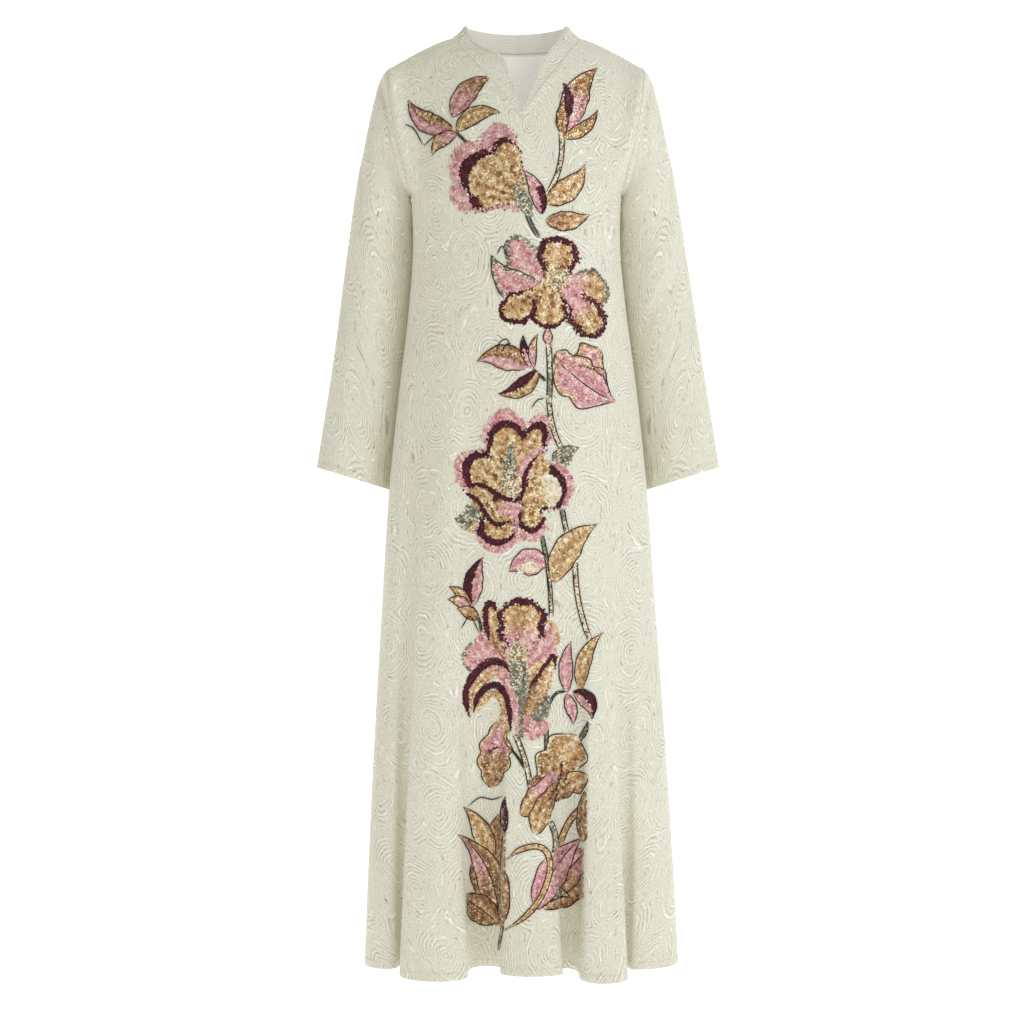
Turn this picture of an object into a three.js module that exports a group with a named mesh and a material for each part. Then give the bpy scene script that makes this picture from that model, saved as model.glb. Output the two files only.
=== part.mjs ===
// A full-length abaya that keeps the rounded form in which it is worn, with nobody in it: front and back
// panels with deep flutes at the hem, two long straight sleeves, a stand collar with a V notch, and the
// white half-moon lining that shows inside the back of the neck.
// Millimetres, +Z up, the front faces -Y. The origin is the middle of the neck opening at its seam.
import * as THREE from "three";

const clothWall = 1.6; // patterned cloth and its backing
const liningWall = 1;
const collarWall = 2.2; // two layers of cloth
const seamGap = 0.3; // between pieces sewn edge to edge
const turnedHem = { height: 11, wall: 2.8 }; // hem and cuffs are folded up once

const hemZ = -1339;
const armpitZ = -215;
const sideSeamY = 6;
const shoulder = { tipX: 186, tipZ: -30, neckX: 95, neckZ: 15, bend: 1.25 };
const armhole = { halfDepth: 48, lean: 33, bend: 1.6, round: 0.85, drawSideways: 4, drawForward: 20 };

// Half width at the side seams, depth to the front and to the back, and how square the corners are:
// 1 is an oval and less is squarer.
const bodySections = [
  { z: -1339, half: 229, front: 92, back: 106, corner: 0.92 },
  { z: -1171, half: 221.5, front: 95, back: 105, corner: 0.92 },
  { z: -996, half: 211.5, front: 99, back: 104, corner: 0.92 },
  { z: -820, half: 200, front: 103, back: 103, corner: 0.92 },
  { z: -630, half: 187, front: 107, back: 101, corner: 0.92 },
  { z: -488, half: 172, front: 110, back: 97, corner: 0.92 },
  { z: -385, half: 159, front: 112, back: 93, corner: 0.9 },
  { z: -282, half: 151, front: 114, back: 93, corner: 0.78 },
  { z: -215, half: 153, front: 113, back: 99, corner: 0.7 },
];

// The hanging garment sways a little sideways.
const sway = [
  { z: -1339, x: 5 },
  { z: -996, x: 2.2 },
  { z: -700, x: 0 },
  { z: -440, x: -0.6 },
  { z: -282, x: -2.4 },
  { z: -120, x: -3.4 },
  { z: 40, x: -3.4 },
];

// Folds of the skirt in order of x: where each one ends, as a share of the half width, at the hem and
// high up; how far it stands out (or in, below 0); how far its hem is lifted; and where it fades out.
const frontFolds = [
  { hem: -0.8, high: -0.87, depth: 8, lift: 5, top: -400 },
  { hem: -0.745, high: -0.81, depth: -26, lift: 8, top: -400 },
  { hem: -0.335, high: -0.48, depth: 30, lift: -2, top: -500 },
  { hem: -0.13, high: -0.2, depth: -36, lift: 9, top: -780 },
  { hem: 0.25, high: 0.243, depth: 31, lift: 8, top: -800 },
  { hem: 0.355, high: 0.46, depth: -32, lift: 6, top: -760 },
  { hem: 0.64, high: 0.74, depth: 33, lift: -4, top: -640 },
  { hem: 0.69, high: 0.8, depth: -22, lift: 6, top: -600 },
  { hem: 1, high: 1, depth: 9, lift: 7, top: -600 },
];
const backFolds = [
  { hem: -0.74, high: -0.8, depth: 10, lift: 6, top: -560 },
  { hem: -0.66, high: -0.7, depth: -24, lift: 8, top: -620 },
  { hem: -0.3, high: -0.36, depth: 27, lift: 0, top: -560 },
  { hem: -0.17, high: -0.2, depth: -30, lift: 7, top: -740 },
  { hem: 0.2, high: 0.2, depth: 28, lift: 1, top: -640 },
  { hem: 0.34, high: 0.4, depth: -28, lift: 7, top: -700 },
  { hem: 0.68, high: 0.74, depth: 26, lift: 0, top: -580 },
  { hem: 0.76, high: 0.82, depth: -22, lift: 8, top: -620 },
  { hem: 1, high: 1, depth: 9, lift: 6, top: -560 },
];
const foldShape = { overhang: 0.07, fade: 1.3, settleZ: -500, liftTop: -1180 };

// Heights of the rows of the panels, from the hem to the armpits. Above those come rows up to the seams.
const skirtLevels = [
  hemZ, hemZ + turnedHem.height, -1285, -1225, -1155, -1075, -985, -890, -790, -685, -580, -480, -390,
  -315, -260, armpitZ,
];
const yokeRows = 7;
const columnsPerFold = { front: 6, back: 4 };

// How the chest and back round over to the seams: how far back and up each column heads as it arrives,
// for its rise, from which share of the top edge that holds in full, and the slope by the neck.
const yokeRound = { back: 1.7, up: 0.32, until: 0.75, slump: { front: 0, back: 0.25 } };

// The neck from the tip of the V, round one side, to the middle of the back: the seam, and the free
// edge of the collar, which hangs a little further closed on the wearer's right (-X).
const tip = { x: 7.4, y: -93.5, z: -116 };
const neckSeam = [
  { x: tip.x, y: tip.y, z: tip.z },
  { x: 23, y: -87, z: -92 },
  { x: 41, y: -75, z: -65 },
  { x: 60, y: -57, z: -39 },
  { x: 75, y: -38, z: -16 },
  { x: 87, y: -16, z: 3 },
  { x: shoulder.neckX, y: sideSeamY, z: shoulder.neckZ },
  { x: 84, y: 44, z: 12 },
  { x: 48, y: 72, z: 9 },
  { x: 0, y: 82, z: 8 },
];
const collarEdge = {
  right: [
    { x: tip.x, y: -92.5, z: -110 },
    { x: 15.4, y: -85, z: -89 },
    { x: 23.4, y: -76, z: -68 },
    { x: 37.4, y: -58, z: -32 },
    { x: 52, y: -41, z: -8 },
    { x: 66, y: -20, z: 13 },
    { x: 75, y: 6, z: 34 },
    { x: 66, y: 37, z: 35.6 },
    { x: 37, y: 62, z: 35.2 },
    { x: 0, y: 70, z: 34.5 },
  ],
  left: [
    { x: tip.x, y: -92.5, z: -110 },
    { x: 1, y: -85, z: -84 },
    { x: -8, y: -73, z: -54 },
    { x: -19, y: -60, z: -24 },
    { x: -39, y: -46, z: -11 },
    { x: -59, y: -22, z: 5 },
    { x: -74, y: 6, z: 34 },
    { x: -66, y: 37, z: 35.6 },
    { x: -37, y: 62, z: 35.2 },
    { x: 0, y: 70, z: 34.5 },
  ],
};
const sideStation = 6;
const neckShare = { front: 0.6, back: 0.55 }; // of a panel's top edge on each side, the rest is shoulder
const collarShape = { rows: 4, raise: 1.3, sag: 0.05, firstStation: 0.15, firstShare: 0.013 };

// Each ring of a sleeve: its outer and inner point, and its half depth from front to back.
const sleeveRings = [
  { outX: 186, outY: 6, outZ: -30, inX: 153, inY: 6, inZ: -215, depth: 48 },
  { outX: 194, outY: 7, outZ: -38.5, inX: 155.6, inY: 10, inZ: -219, depth: 49 },
  { outX: 200.5, outY: 8, outZ: -52, inX: 156, inY: 15, inZ: -224, depth: 50 },
  { outX: 207, outY: 10, outZ: -75, inX: 155, inY: 21, inZ: -232, depth: 51 },
  { outX: 216.2, outY: 13, outZ: -110, inX: 152.6, inY: 29, inZ: -245, depth: 53 },
  { outX: 227, outY: 18, outZ: -160, inX: 150.5, inY: 36, inZ: -262, depth: 55 },
  { outX: 237.4, outY: 24, outZ: -222, inX: 148, inY: 43, inZ: -290, depth: 56 },
  { outX: 247, outY: 29, outZ: -290, inX: 150.5, inY: 46, inZ: -335, depth: 57 },
  { outX: 258.8, outY: 33, outZ: -370, inX: 158, inY: 48, inZ: -403, depth: 56 },
  { outX: 272, outY: 36, outZ: -455, inX: 167.5, inY: 49, inZ: -480, depth: 55 },
  { outX: 285.8, outY: 37, outZ: -540, inX: 177, inY: 49, inZ: -562, depth: 54 },
  { outX: 297, outY: 37, outZ: -611, inX: 186, inY: 49, inZ: -645, depth: 53 },
];
const sleeveStations = [0, 0.5, 1, 1.5, 2.2, 3, 4, 5, 6, 7, 8, 9, 10, 10.86, 11];
const cap = { rings: 4, startX: 0.6, startZ: -0.25 };

// The half-moon lining hangs from the neck seam inside the back. Its drop is in rows of that panel.
const halfMoon = { drop: 4.4, flat: 0.8, clear: 0.9, topClear: 0.12, rows: 6 };

const ivory = { color: 0xe4e2d2, roughness: 0.62, metalness: 0 };
const whiteSatin = { color: 0xe9e9e6, roughness: 0.45, metalness: 0 };

const mix = (a, b, t) => a + (b - a) * t;
const clamp01 = (t) => Math.min(1, Math.max(0, t));
const smooth = (t) => t * t * (3 - 2 * t);
const vector = (x, y, z) => new THREE.Vector3(x, y, z);

// One column of a table as a smooth curve through its rows. key names the column that the rows are
// spaced by, and without it they are 0, 1, 2 and so on.
function curveOf(rows, column, key) {
  const at = rows.map((row, i) => (key ? row[key] : i));
  const value = rows.map((row) => row[column]);
  const last = rows.length - 1;
  const direction = Math.sign(at[last] - at[0]);
  const step = (i) => (value[i + 1] - value[i]) / (at[i + 1] - at[i]);
  const slope = value.map((_, i) => {
    if (i === 0) return step(0);
    if (i === last) return step(last - 1);
    return mix(step(i - 1), step(i), (at[i] - at[i - 1]) / (at[i + 1] - at[i - 1]));
  });
  return (x) => {
    let i = 0;
    while (i < last - 1 && (x - at[i + 1]) * direction > 0) i++;
    const h = at[i + 1] - at[i];
    const t = clamp01((x - at[i]) / h);
    const bend = t * (1 - t) * h * (slope[i] * (1 - t) - slope[i + 1] * t);
    return mix(value[i], value[i + 1], smooth(t)) + bend;
  };
}

const pointCurve = (rows) => {
  const [x, y, z] = ["x", "y", "z"].map((axis) => curveOf(rows, axis));
  return (s) => vector(x(s), y(s), z(s));
};

const section = Object.fromEntries(
  ["half", "front", "back", "corner"].map((column) => [column, curveOf(bodySections, column, "z")]),
);
const swayAt = curveOf(sway, "x", "z");
const seamAt = pointCurve(neckSeam);
const edgeAt = { right: pointCurve(collarEdge.right), left: pointCurve(collarEdge.left) };

// A node for the middle of each fold and one for each side seam. wall is where a fold meets the last.
function foldNodes(folds) {
  const start = { hem: -1, high: -1 };
  const middles = folds.map((fold, i) => {
    const before = i ? folds[i - 1] : start;
    return {
      ...fold,
      hem: (before.hem + fold.hem) / 2,
      high: (before.high + fold.high) / 2,
      wall: i ? before : null,
    };
  });
  const seam = (fold, end) => ({ ...fold, hem: end, high: end, depth: 0, wall: null });
  return [seam(folds[0], -1), ...middles, seam(folds[folds.length - 1], 1)];
}

// The angle round the section, of a quarter turn, at which x is this share of the half width.
const turnOfShare = (share) => Math.asin(share) / (Math.PI / 2);

// Where a column lies round its section at height z, how far the folds push it out, and its hem's lift.
// Two folds meet in a steep wall that overhangs a little, because most of the turn is spent there.
function foldAt(nodes, column, z) {
  const k = Math.min(nodes.length - 2, Math.floor(column));
  const t = column - k;
  const rise = clamp01((z - hemZ) / (foldShape.settleZ - hemZ));
  const turnAt = (entry) => turnOfShare(mix(entry.hem, entry.high, rise));
  const fade = (node) => Math.pow(clamp01((node.top - z) / (node.top - hemZ)), foldShape.fade);
  const [a, b] = [nodes[k], nodes[k + 1]];
  let share = t;
  if (b.wall) {
    const wallShare = (turnAt(b.wall) - turnAt(a)) / (turnAt(b) - turnAt(a));
    const near = wallShare * Math.sin(Math.PI * t);
    const far = 1 - (1 - wallShare) * Math.sin(Math.PI * (1 - t));
    const steep = (t < 0.5 ? near : far) + foldShape.overhang * Math.sin(2 * Math.PI * t);
    share = mix(t, steep, (fade(a) + fade(b)) / 2);
  }
  const wave = (1 - Math.cos(Math.PI * t)) / 2;
  return {
    angle: (mix(turnAt(a), turnAt(b), share) * Math.PI) / 2,
    out: mix(a.depth * fade(a), b.depth * fade(b), wave),
    lift: mix(a.lift, b.lift, wave),
  };
}

// -1 for the front, which faces -Y, and 1 for the back.
const facing = { front: -1, back: 1 };

// A point of the outer face from the hem to the armpits.
function bodyPoint(panel, column, z) {
  const fold = foldAt(panel.nodes, column, z);
  const [halfWidth, depth] = [section.half(z), section[panel.side](z)];
  const [s, c] = [Math.sin(fold.angle), Math.max(0, Math.cos(fold.angle))];
  const outward = vector(s / halfWidth, (facing[panel.side] * c) / depth, 0).normalize();
  const hang = clamp01((foldShape.liftTop - z) / (foldShape.liftTop - hemZ));
  const y = sideSeamY + facing[panel.side] * depth * Math.pow(c, section.corner(z));
  return vector(halfWidth * s, y, z + fold.lift * hang).addScaledVector(outward, fold.out);
}

// The armhole seam: share 0 at the armpit and 1 at the shoulder.
function armholePoint(panel, share, sign) {
  const middle = (shoulder.tipZ + armpitZ) / 2;
  const z = middle - ((shoulder.tipZ - armpitZ) / 2) * Math.cos(Math.PI * share);
  const drop = (shoulder.tipZ - z) / (shoulder.tipZ - armpitZ);
  const deep = Math.pow(Math.max(0, Math.sin(Math.PI * share)), armhole.round);
  return vector(
    sign * (shoulder.tipX - armhole.lean * Math.pow(drop, armhole.bend)),
    sideSeamY + facing[panel.side] * armhole.halfDepth * deep,
    z,
  );
}

// The row of the neck table for a place on a panel's top edge. q is 0 at the middle of the neck, or at
// the tip of the V, and 1 or -1 at the ends of the shoulders.
function neckStation(panel, q) {
  const share = Math.min(1, Math.abs(q) / neckShare[panel.side]);
  return mix(panel.side === "front" ? 0 : neckSeam.length - 1, sideStation, share);
}

// The seam at q. The tip of the V is off the middle, so the wearer's right side reaches further.
function topPoint(panel, q) {
  const [sign, share] = [q < 0 ? -1 : 1, neckShare[panel.side]];
  if (Math.abs(q) < share) {
    const point = seamAt(neckStation(panel, q));
    if (q > 0) return point;
    const middle = panel.side === "front" ? tip.x : 0;
    const stretch = (shoulder.neckX + middle) / (shoulder.neckX - middle);
    return point.setX(middle - (point.x - middle) * stretch);
  }
  const t = (Math.abs(q) - share) / (1 - share);
  const z = mix(shoulder.neckZ, shoulder.tipZ, Math.pow(t, shoulder.bend));
  return vector(sign * mix(shoulder.neckX, shoulder.tipX, t), sideSeamY, z);
}

// Where a column would meet the top edge if it went straight up. The columns nearest to the corners of
// the seams are drawn onto them, and the others follow in proportion.
function straightEnd(panel, column) {
  const middle = panel.side === "front" ? tip.x / shoulder.tipX : 0;
  const x = Math.sin(foldAt(panel.nodes, column, armpitZ).angle);
  return x < middle ? (x - middle) / (1 + middle) : (x - middle) / (1 - middle);
}

function endStops(panel) {
  const ends = Array.from({ length: panel.columns + 1 }, (_, i) => straightEnd(panel, i / panel.perFold));
  const nearest = (q) => ends.reduce((best, v) => (Math.abs(v - q) < Math.abs(best - q) ? v : best));
  const share = neckShare[panel.side];
  return [-1, -share, 0, share, 1].map((to) => ({ from: nearest(to), to }));
}

function topShare(panel, column) {
  const q = straightEnd(panel, column);
  const next = Math.max(1, panel.stops.findIndex(({ from }) => q <= from + 1e-9));
  const [a, b] = [panel.stops[next - 1], panel.stops[next]];
  const at = mix(a.to, b.to, (q - a.from) / (b.from - a.from));
  return Math.abs(at) < 1e-9 ? 0 : at;
}

// A point of the chest and shoulders: turn 0 at the armpits and 1 at the neck or shoulder seam. Each
// column is a curve that starts upright and rounds over to the seam, and those near the side are drawn
// to the armhole.
function yokePoint(panel, column, turn) {
  const [t2, t3] = [turn * turn, turn * turn * turn];
  const curve = (c, q) => {
    const [low, top] = [bodyPoint(panel, c, armpitZ), topPoint(panel, q)];
    const over = smooth(clamp01(Math.abs(q) / yokeRound.until));
    const [back, up] = [top.y - low.y, top.z - low.z];
    const slump = mix(yokeRound.slump[panel.side], 0, over) * up;
    const arrive = vector(0, yokeRound.back * back - slump, mix(1, yokeRound.up, over) * up);
    const point = low.multiplyScalar(2 * t3 - 3 * t2 + 1).addScaledVector(top, 3 * t2 - 2 * t3);
    point.addScaledVector(vector(0, 0, up), t3 - 2 * t2 + turn);
    return point.addScaledVector(arrive, t3 - t2);
  };
  const q = topShare(panel, column);
  const sign = q < 0 ? -1 : 1;
  const edge = curve(sign > 0 ? panel.nodes.length - 1 : 0, sign);
  const away = armholePoint(panel, turn, sign).sub(edge);
  const side = Math.abs(Math.sin(foldAt(panel.nodes, column, armpitZ).angle));
  const sideways = Math.pow(side, armhole.drawSideways);
  const forward = Math.pow(side, armhole.drawForward);
  return curve(column, q).add(vector(away.x * sideways, away.y * forward, away.z * sideways));
}

// Outward normals of a grid of points. wrapped joins the last column to the first.
function gridNormals(rows, wrapped, sign) {
  const count = rows[0].length;
  return rows.map((row, r) =>
    row.map((_, i) => {
      const above = rows[Math.min(rows.length - 1, r + 1)][i];
      const below = rows[Math.max(0, r - 1)][i];
      const before = wrapped ? (i + count - 1) % count : Math.max(0, i - 1);
      const after = wrapped ? (i + 1) % count : Math.min(count - 1, i + 1);
      const round = row[after].clone().sub(row[before]);
      return round.cross(above.clone().sub(below)).multiplyScalar(sign).normalize();
    }),
  );
}

const moveIn = (rows, normals, wall) =>
  rows.map((row, r) => row.map((point, i) => point.clone().addScaledVector(normals[r][i], -wall(r))));

// A closed wall between two grids of points, the outer face and the inner face.
function wallMesh(name, outerRows, innerRows, wrapped, finish) {
  const [rowCount, count] = [outerRows.length, outerRows[0].length];
  const positions = [outerRows, innerRows]
    .flat(2)
    .flatMap((point) => [point.x + swayAt(point.z), point.y, point.z]);
  const outer = (r, i) => r * count + (i % count);
  const inner = (r, i) => rowCount * count + outer(r, i);
  const index = [];
  const quad = (a, b, c, d) => index.push(a, b, c, a, c, d);
  const spans = wrapped ? count : count - 1;
  const top = rowCount - 1;
  for (let i = 0; i < spans; i++) {
    for (let r = 0; r < top; r++) {
      quad(outer(r, i), outer(r, i + 1), outer(r + 1, i + 1), outer(r + 1, i));
      quad(inner(r, i), inner(r + 1, i), inner(r + 1, i + 1), inner(r, i + 1));
    }
    quad(outer(0, i), inner(0, i), inner(0, i + 1), outer(0, i + 1));
    quad(outer(top, i), outer(top, i + 1), inner(top, i + 1), inner(top, i));
  }
  for (let r = 0; r < top && !wrapped; r++) {
    quad(outer(r, 0), outer(r + 1, 0), inner(r + 1, 0), inner(r, 0));
    quad(outer(r, spans), inner(r, spans), inner(r + 1, spans), outer(r + 1, spans));
  }
  const geometry = new THREE.BufferGeometry();
  geometry.setAttribute("position", new THREE.Float32BufferAttribute(positions, 3));
  geometry.setIndex(isInsideOut(positions, index) ? index.reverse() : index);
  geometry.computeVertexNormals();
  const made = new THREE.Mesh(geometry, new THREE.MeshStandardMaterial(finish));
  made.name = name;
  return made;
}

function isInsideOut(positions, index) {
  const corner = (k) => vector().fromArray(positions, index[k] * 3);
  let volume = 0;
  for (let k = 0; k < index.length; k += 3) volume += corner(k).dot(corner(k + 1).cross(corner(k + 2)));
  return volume < 0;
}

// A panel's grids from the hem to the seams. Along a side or shoulder seam both panels stop half the
// seam's gap short of it and face the same way.
function makePanel(side, folds) {
  const nodes = foldNodes(folds);
  const perFold = columnsPerFold[side];
  const panel = { side, nodes, perFold, columns: (nodes.length - 1) * perFold };
  panel.stops = endStops(panel);
  const columns = Array.from({ length: panel.columns + 1 }, (_, i) => i / perFold);
  panel.rows = skirtLevels.map((z) => columns.map((column) => bodyPoint(panel, column, z)));
  for (let r = 1; r <= yokeRows; r++) panel.rows.push(columns.map((c) => yokePoint(panel, c, r / yokeRows)));
  const last = panel.rows.length - 1;
  const normals = gridNormals(panel.rows, false, -facing[side]);
  panel.rows.forEach((row, r) =>
    row.forEach((point, i) => {
      const onSide = (i === 0 || i === panel.columns) && r < skirtLevels.length;
      const onShoulder = r === last && Math.abs(point.x) > shoulder.neckX - 0.01;
      if (!onSide && !onShoulder) return;
      point.y += (facing[side] * seamGap) / 2;
      normals[r][i].setY(0).normalize();
    }),
  );
  panel.inner = moveIn(panel.rows, normals, (r) => (r < 2 ? turnedHem.wall : clothWall));
  return panel;
}

const panelMesh = (name, panel) => wallMesh(name, panel.rows, panel.inner, false, ivory);

// A panel's armhole edge as a line through its rows, from the armpit (0) to the shoulder (1).
function armholeEdge(rows, sign, share) {
  const at = share * yokeRows;
  const r = Math.min(yokeRows - 1, Math.floor(at));
  const column = sign > 0 ? rows[0].length - 1 : 0;
  const corner = (k) => rows[skirtLevels.length - 1 + k][column];
  return corner(r).clone().lerp(corner(r + 1), at - r);
}

// Both panels' armhole edges as one loop from the shoulder, down the front and up the back.
function armholeLoop(front, back, sign) {
  const count = 4 * yokeRows;
  return Array.from({ length: count }, (_, i) => {
    const turn = i / count;
    const share = Math.abs(1 - 2 * turn);
    const edge = (key) => {
      const [a, b] = [armholeEdge(front[key], sign, share), armholeEdge(back[key], sign, share)];
      if (turn === 0 || turn === 0.5) return a.lerp(b, 0.5);
      return turn < 0.5 ? a : b;
    };
    return { turn, share, outer: edge("rows"), inner: edge("inner") };
  });
}

// A sleeve's first ring follows the armhole just clear of it, and the next few grow into the table's.
function sleeveMesh(name, front, back, sign) {
  const loop = armholeLoop(front, back, sign);
  const read = Object.fromEntries(
    Object.keys(sleeveRings[0]).map((column) => [column, curveOf(sleeveRings, column)]),
  );
  const ringPoint = (s, turn) => {
    const [c, d] = [Math.cos(2 * Math.PI * turn), Math.sin(2 * Math.PI * turn)];
    const round = mix(armhole.round, 1, clamp01(s / cap.rings));
    return vector(
      sign * mix(read.inX(s), read.outX(s), (1 + c) / 2),
      mix(read.inY(s), read.outY(s), (1 + c) / 2) - read.depth(s) * Math.sign(d) * Math.pow(Math.abs(d), round),
      mix(read.inZ(s), read.outZ(s), (1 + c) / 2),
    );
  };
  const start = vector(sign * cap.startX, 0, cap.startZ);
  const rows = sleeveStations.map((s) => {
    const follow = 1 - smooth(clamp01(s / cap.rings));
    return loop.map(({ turn, outer }) => {
      const away = outer.clone().add(start).sub(ringPoint(0, turn));
      return ringPoint(s, turn).addScaledVector(away, follow);
    });
  });
  const inner = moveIn(rows, gridNormals(rows, true, sign), (r) =>
    r >= rows.length - 2 ? turnedHem.wall : clothWall,
  );
  loop.forEach((place, i) => {
    const flush = smooth(clamp01((place.share - 0.15) / 0.35));
    inner[0][i].lerp(place.inner.clone().add(start), flush);
  });
  return wallMesh(name, rows, inner, true, ivory);
}

// The neck seam as the panels have it, from the tip of the V to the wearer's left, round the back and
// to the tip again, with the row of the neck table for each point.
function seamPlaces(front, back) {
  const within = (panel) => {
    const last = panel.rows[panel.rows.length - 1];
    return last
      .map((point, i) => ({ point, panel, q: topShare(panel, i / panel.perFold) }))
      .filter(({ q }) => Math.abs(q) < neckShare[panel.side] + 1e-6 && (panel === back || q !== 0));
  };
  const end = (q) => ({ point: topPoint(front, q), panel: front, q });
  const [ahead, behind] = [within(front), within(back).slice(1, -1).reverse()];
  const left = ahead.filter(({ q }) => q > 0);
  const right = ahead.filter(({ q }) => q < 0);
  return [end(collarShape.firstShare), ...left, ...behind, ...right, end(-collarShape.firstShare)];
}

// The collar runs from one end by the tip of the V, round the back of the neck, to the other end.
function collarMesh(front, back) {
  const { rows: count, raise, sag, firstStation } = collarShape;
  const places = seamPlaces(front, back);
  const rows = Array.from({ length: count }, (_, r) =>
    places.map(({ point, panel, q }) => {
      const edge = edgeAt[q > 0 ? "right" : "left"](Math.max(neckStation(panel, q), firstStation));
      const across = edge.clone().sub(point);
      const start = point.clone().addScaledVector(across.clone().normalize(), raise);
      const t = r / (count - 1);
      const low = vector(0, 0, -sag * Math.sin(Math.PI * t) * across.length());
      return start.lerp(edge, t).add(low);
    }),
  );
  const inner = moveIn(rows, gridNormals(rows, false, 1), () => collarWall);
  return wallMesh("collar_band", rows, inner, false, ivory);
}

// A half moon of the back panel's own columns, moved inside it.
function liningMesh(back) {
  const { drop, flat, clear, topClear, rows: count } = halfMoon;
  const last = back.rows.length - 1;
  const share = (i) => topShare(back, i / back.perFold) / neckShare.back;
  const columns = back.rows[last].map((_, i) => i).filter((i) => Math.abs(share(i)) < 0.99);
  const along = (rows, i, down) => {
    const r = Math.max(0, Math.ceil(last - down) - 1);
    return rows[r][i].clone().lerp(rows[r + 1][i], last - down - r);
  };
  const rows = Array.from({ length: count + 1 }, (_, r) =>
    columns.map((i) => {
      const deep = drop * Math.sqrt(1 - flat * share(i) ** 2);
      const down = mix(deep, topClear, r / count);
      const [outer, inner] = [along(back.rows, i, down), along(back.inner, i, down)];
      return inner.addScaledVector(inner.clone().sub(outer).normalize(), clear);
    }),
  );
  const inner = moveIn(rows, gridNormals(rows, false, -facing.back), () => liningWall);
  return wallMesh("back_lining", rows, inner, false, whiteSatin);
}

const frontPanel = makePanel("front", frontFolds);
const backPanel = makePanel("back", backFolds);

const abaya = new THREE.Group();
abaya.add(
  panelMesh("front_panel", frontPanel),
  panelMesh("back_panel", backPanel),
  sleeveMesh("sleeve_left", frontPanel, backPanel, 1),
  sleeveMesh("sleeve_right", frontPanel, backPanel, -1),
  collarMesh(frontPanel, backPanel),
  liningMesh(backPanel),
);

export default abaya;
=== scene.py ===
import math

import bpy
import numpy as np
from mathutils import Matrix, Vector
from mathutils.bvhtree import BVHTree


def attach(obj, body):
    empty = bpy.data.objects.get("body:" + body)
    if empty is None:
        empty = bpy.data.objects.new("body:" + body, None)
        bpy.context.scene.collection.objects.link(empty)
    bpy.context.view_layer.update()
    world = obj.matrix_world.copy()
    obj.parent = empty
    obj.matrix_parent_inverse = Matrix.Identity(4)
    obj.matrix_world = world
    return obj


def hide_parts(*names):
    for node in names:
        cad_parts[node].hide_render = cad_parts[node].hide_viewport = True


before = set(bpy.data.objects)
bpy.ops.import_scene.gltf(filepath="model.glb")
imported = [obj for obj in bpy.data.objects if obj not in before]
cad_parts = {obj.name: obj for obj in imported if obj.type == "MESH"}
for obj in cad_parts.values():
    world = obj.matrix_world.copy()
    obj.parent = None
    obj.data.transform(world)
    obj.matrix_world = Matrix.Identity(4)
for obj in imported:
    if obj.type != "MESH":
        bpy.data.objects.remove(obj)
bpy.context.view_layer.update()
mm = 0.001

# camera, light and the pale sweep; lamps are place, size and power
studio = {
    "eye": (-0.009, -3.2, -0.677),
    "lens": 77.06,
    "sensor": 36,
    "floorZ": -1.40,
    "lamps": {
        "keyLight": ((2.1, -2.1, 1.5), 1.3, 39.0),
        "fillLight": ((-2.4, -2.4, -0.4), 2.4, 4.0),
        "backLight": ((0.6, 1.9, 1.2), 1.6, 5.0),
    },
    "aim": (0, 0, -0.6),
    "sweep": {"front": -6.0, "bendAt": 2.4, "bend": 1.2, "top": 5.0, "half": 7.0, "turns": 13,
              "colour": "#FAFAF9", "roughness": 0.9},
    "skyStrength": 0.46,
    "sweepGlow": 0.52,
    "keyColour": (0.94, 0.975, 1.0),
    "skyColour": (1.0, 0.965, 0.84, 1.0),
}

clothWall = 1.6
liningWall = 1.0
collarWall = 2.2
seamGap = 0.3
turnedHem = {"height": 11, "wall": 2.8}
hemZ = -1339
armpitZ = -215
sideSeamY = 6
shoulder = {"tipX": 186, "tipZ": -30, "neckX": 95, "neckZ": 15, "bend": 1.25}
armhole = {"halfDepth": 48, "lean": 33, "bend": 1.6, "round": 0.85, "sideways": 4, "forward": 20}

# z, half width, depth to the front, depth to the back, how square the corners are
bodySections = np.array([
    (-1339, 229, 92, 106, 0.92),
    (-1171, 221.5, 95, 105, 0.92),
    (-996, 211.5, 99, 104, 0.92),
    (-820, 200, 103, 103, 0.92),
    (-630, 187, 107, 101, 0.92),
    (-488, 172, 110, 97, 0.92),
    (-385, 159, 112, 93, 0.9),
    (-282, 151, 114, 93, 0.78),
    (-215, 153, 113, 99, 0.7),
])
swayRows = np.array([(-1339, 5), (-996, 2.2), (-700, 0), (-440, -0.6), (-282, -2.4), (-120, -3.4), (40, -3.4)])

# folds in order of x: where each ends at the hem and high up, depth, lift of the hem, where it fades
frontFolds = [
    (-0.8, -0.87, 8, 5, -400), (-0.745, -0.81, -26, 8, -400), (-0.335, -0.48, 30, -2, -500),
    (-0.13, -0.2, -36, 9, -780), (0.25, 0.243, 31, 8, -800), (0.355, 0.46, -32, 6, -760),
    (0.64, 0.74, 33, -4, -640), (0.69, 0.8, -22, 6, -600), (1, 1, 9, 7, -600),
]
backFolds = [
    (-0.74, -0.8, 10, 6, -560), (-0.66, -0.7, -24, 8, -620), (-0.3, -0.36, 27, 0, -560),
    (-0.17, -0.2, -30, 7, -740), (0.2, 0.2, 28, 1, -640), (0.34, 0.4, -28, 7, -700),
    (0.68, 0.74, 26, 0, -580), (0.76, 0.82, -22, 8, -620), (1, 1, 9, 6, -560),
]
foldShape = {"overhang": 0.07, "fade": 1.3, "settleZ": -500, "liftTop": -1180}
yokeRound = {"back": 1.7, "up": 0.32, "until": 0.75, "slump": {"front": 0, "back": 0.25}}
perFold = {"front": 6, "back": 4}  # columns of the solids, which the seams' corners were drawn onto
finer = {"front": 3, "back": 4, "skirtRows": 165, "yokeRows": 42}

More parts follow.
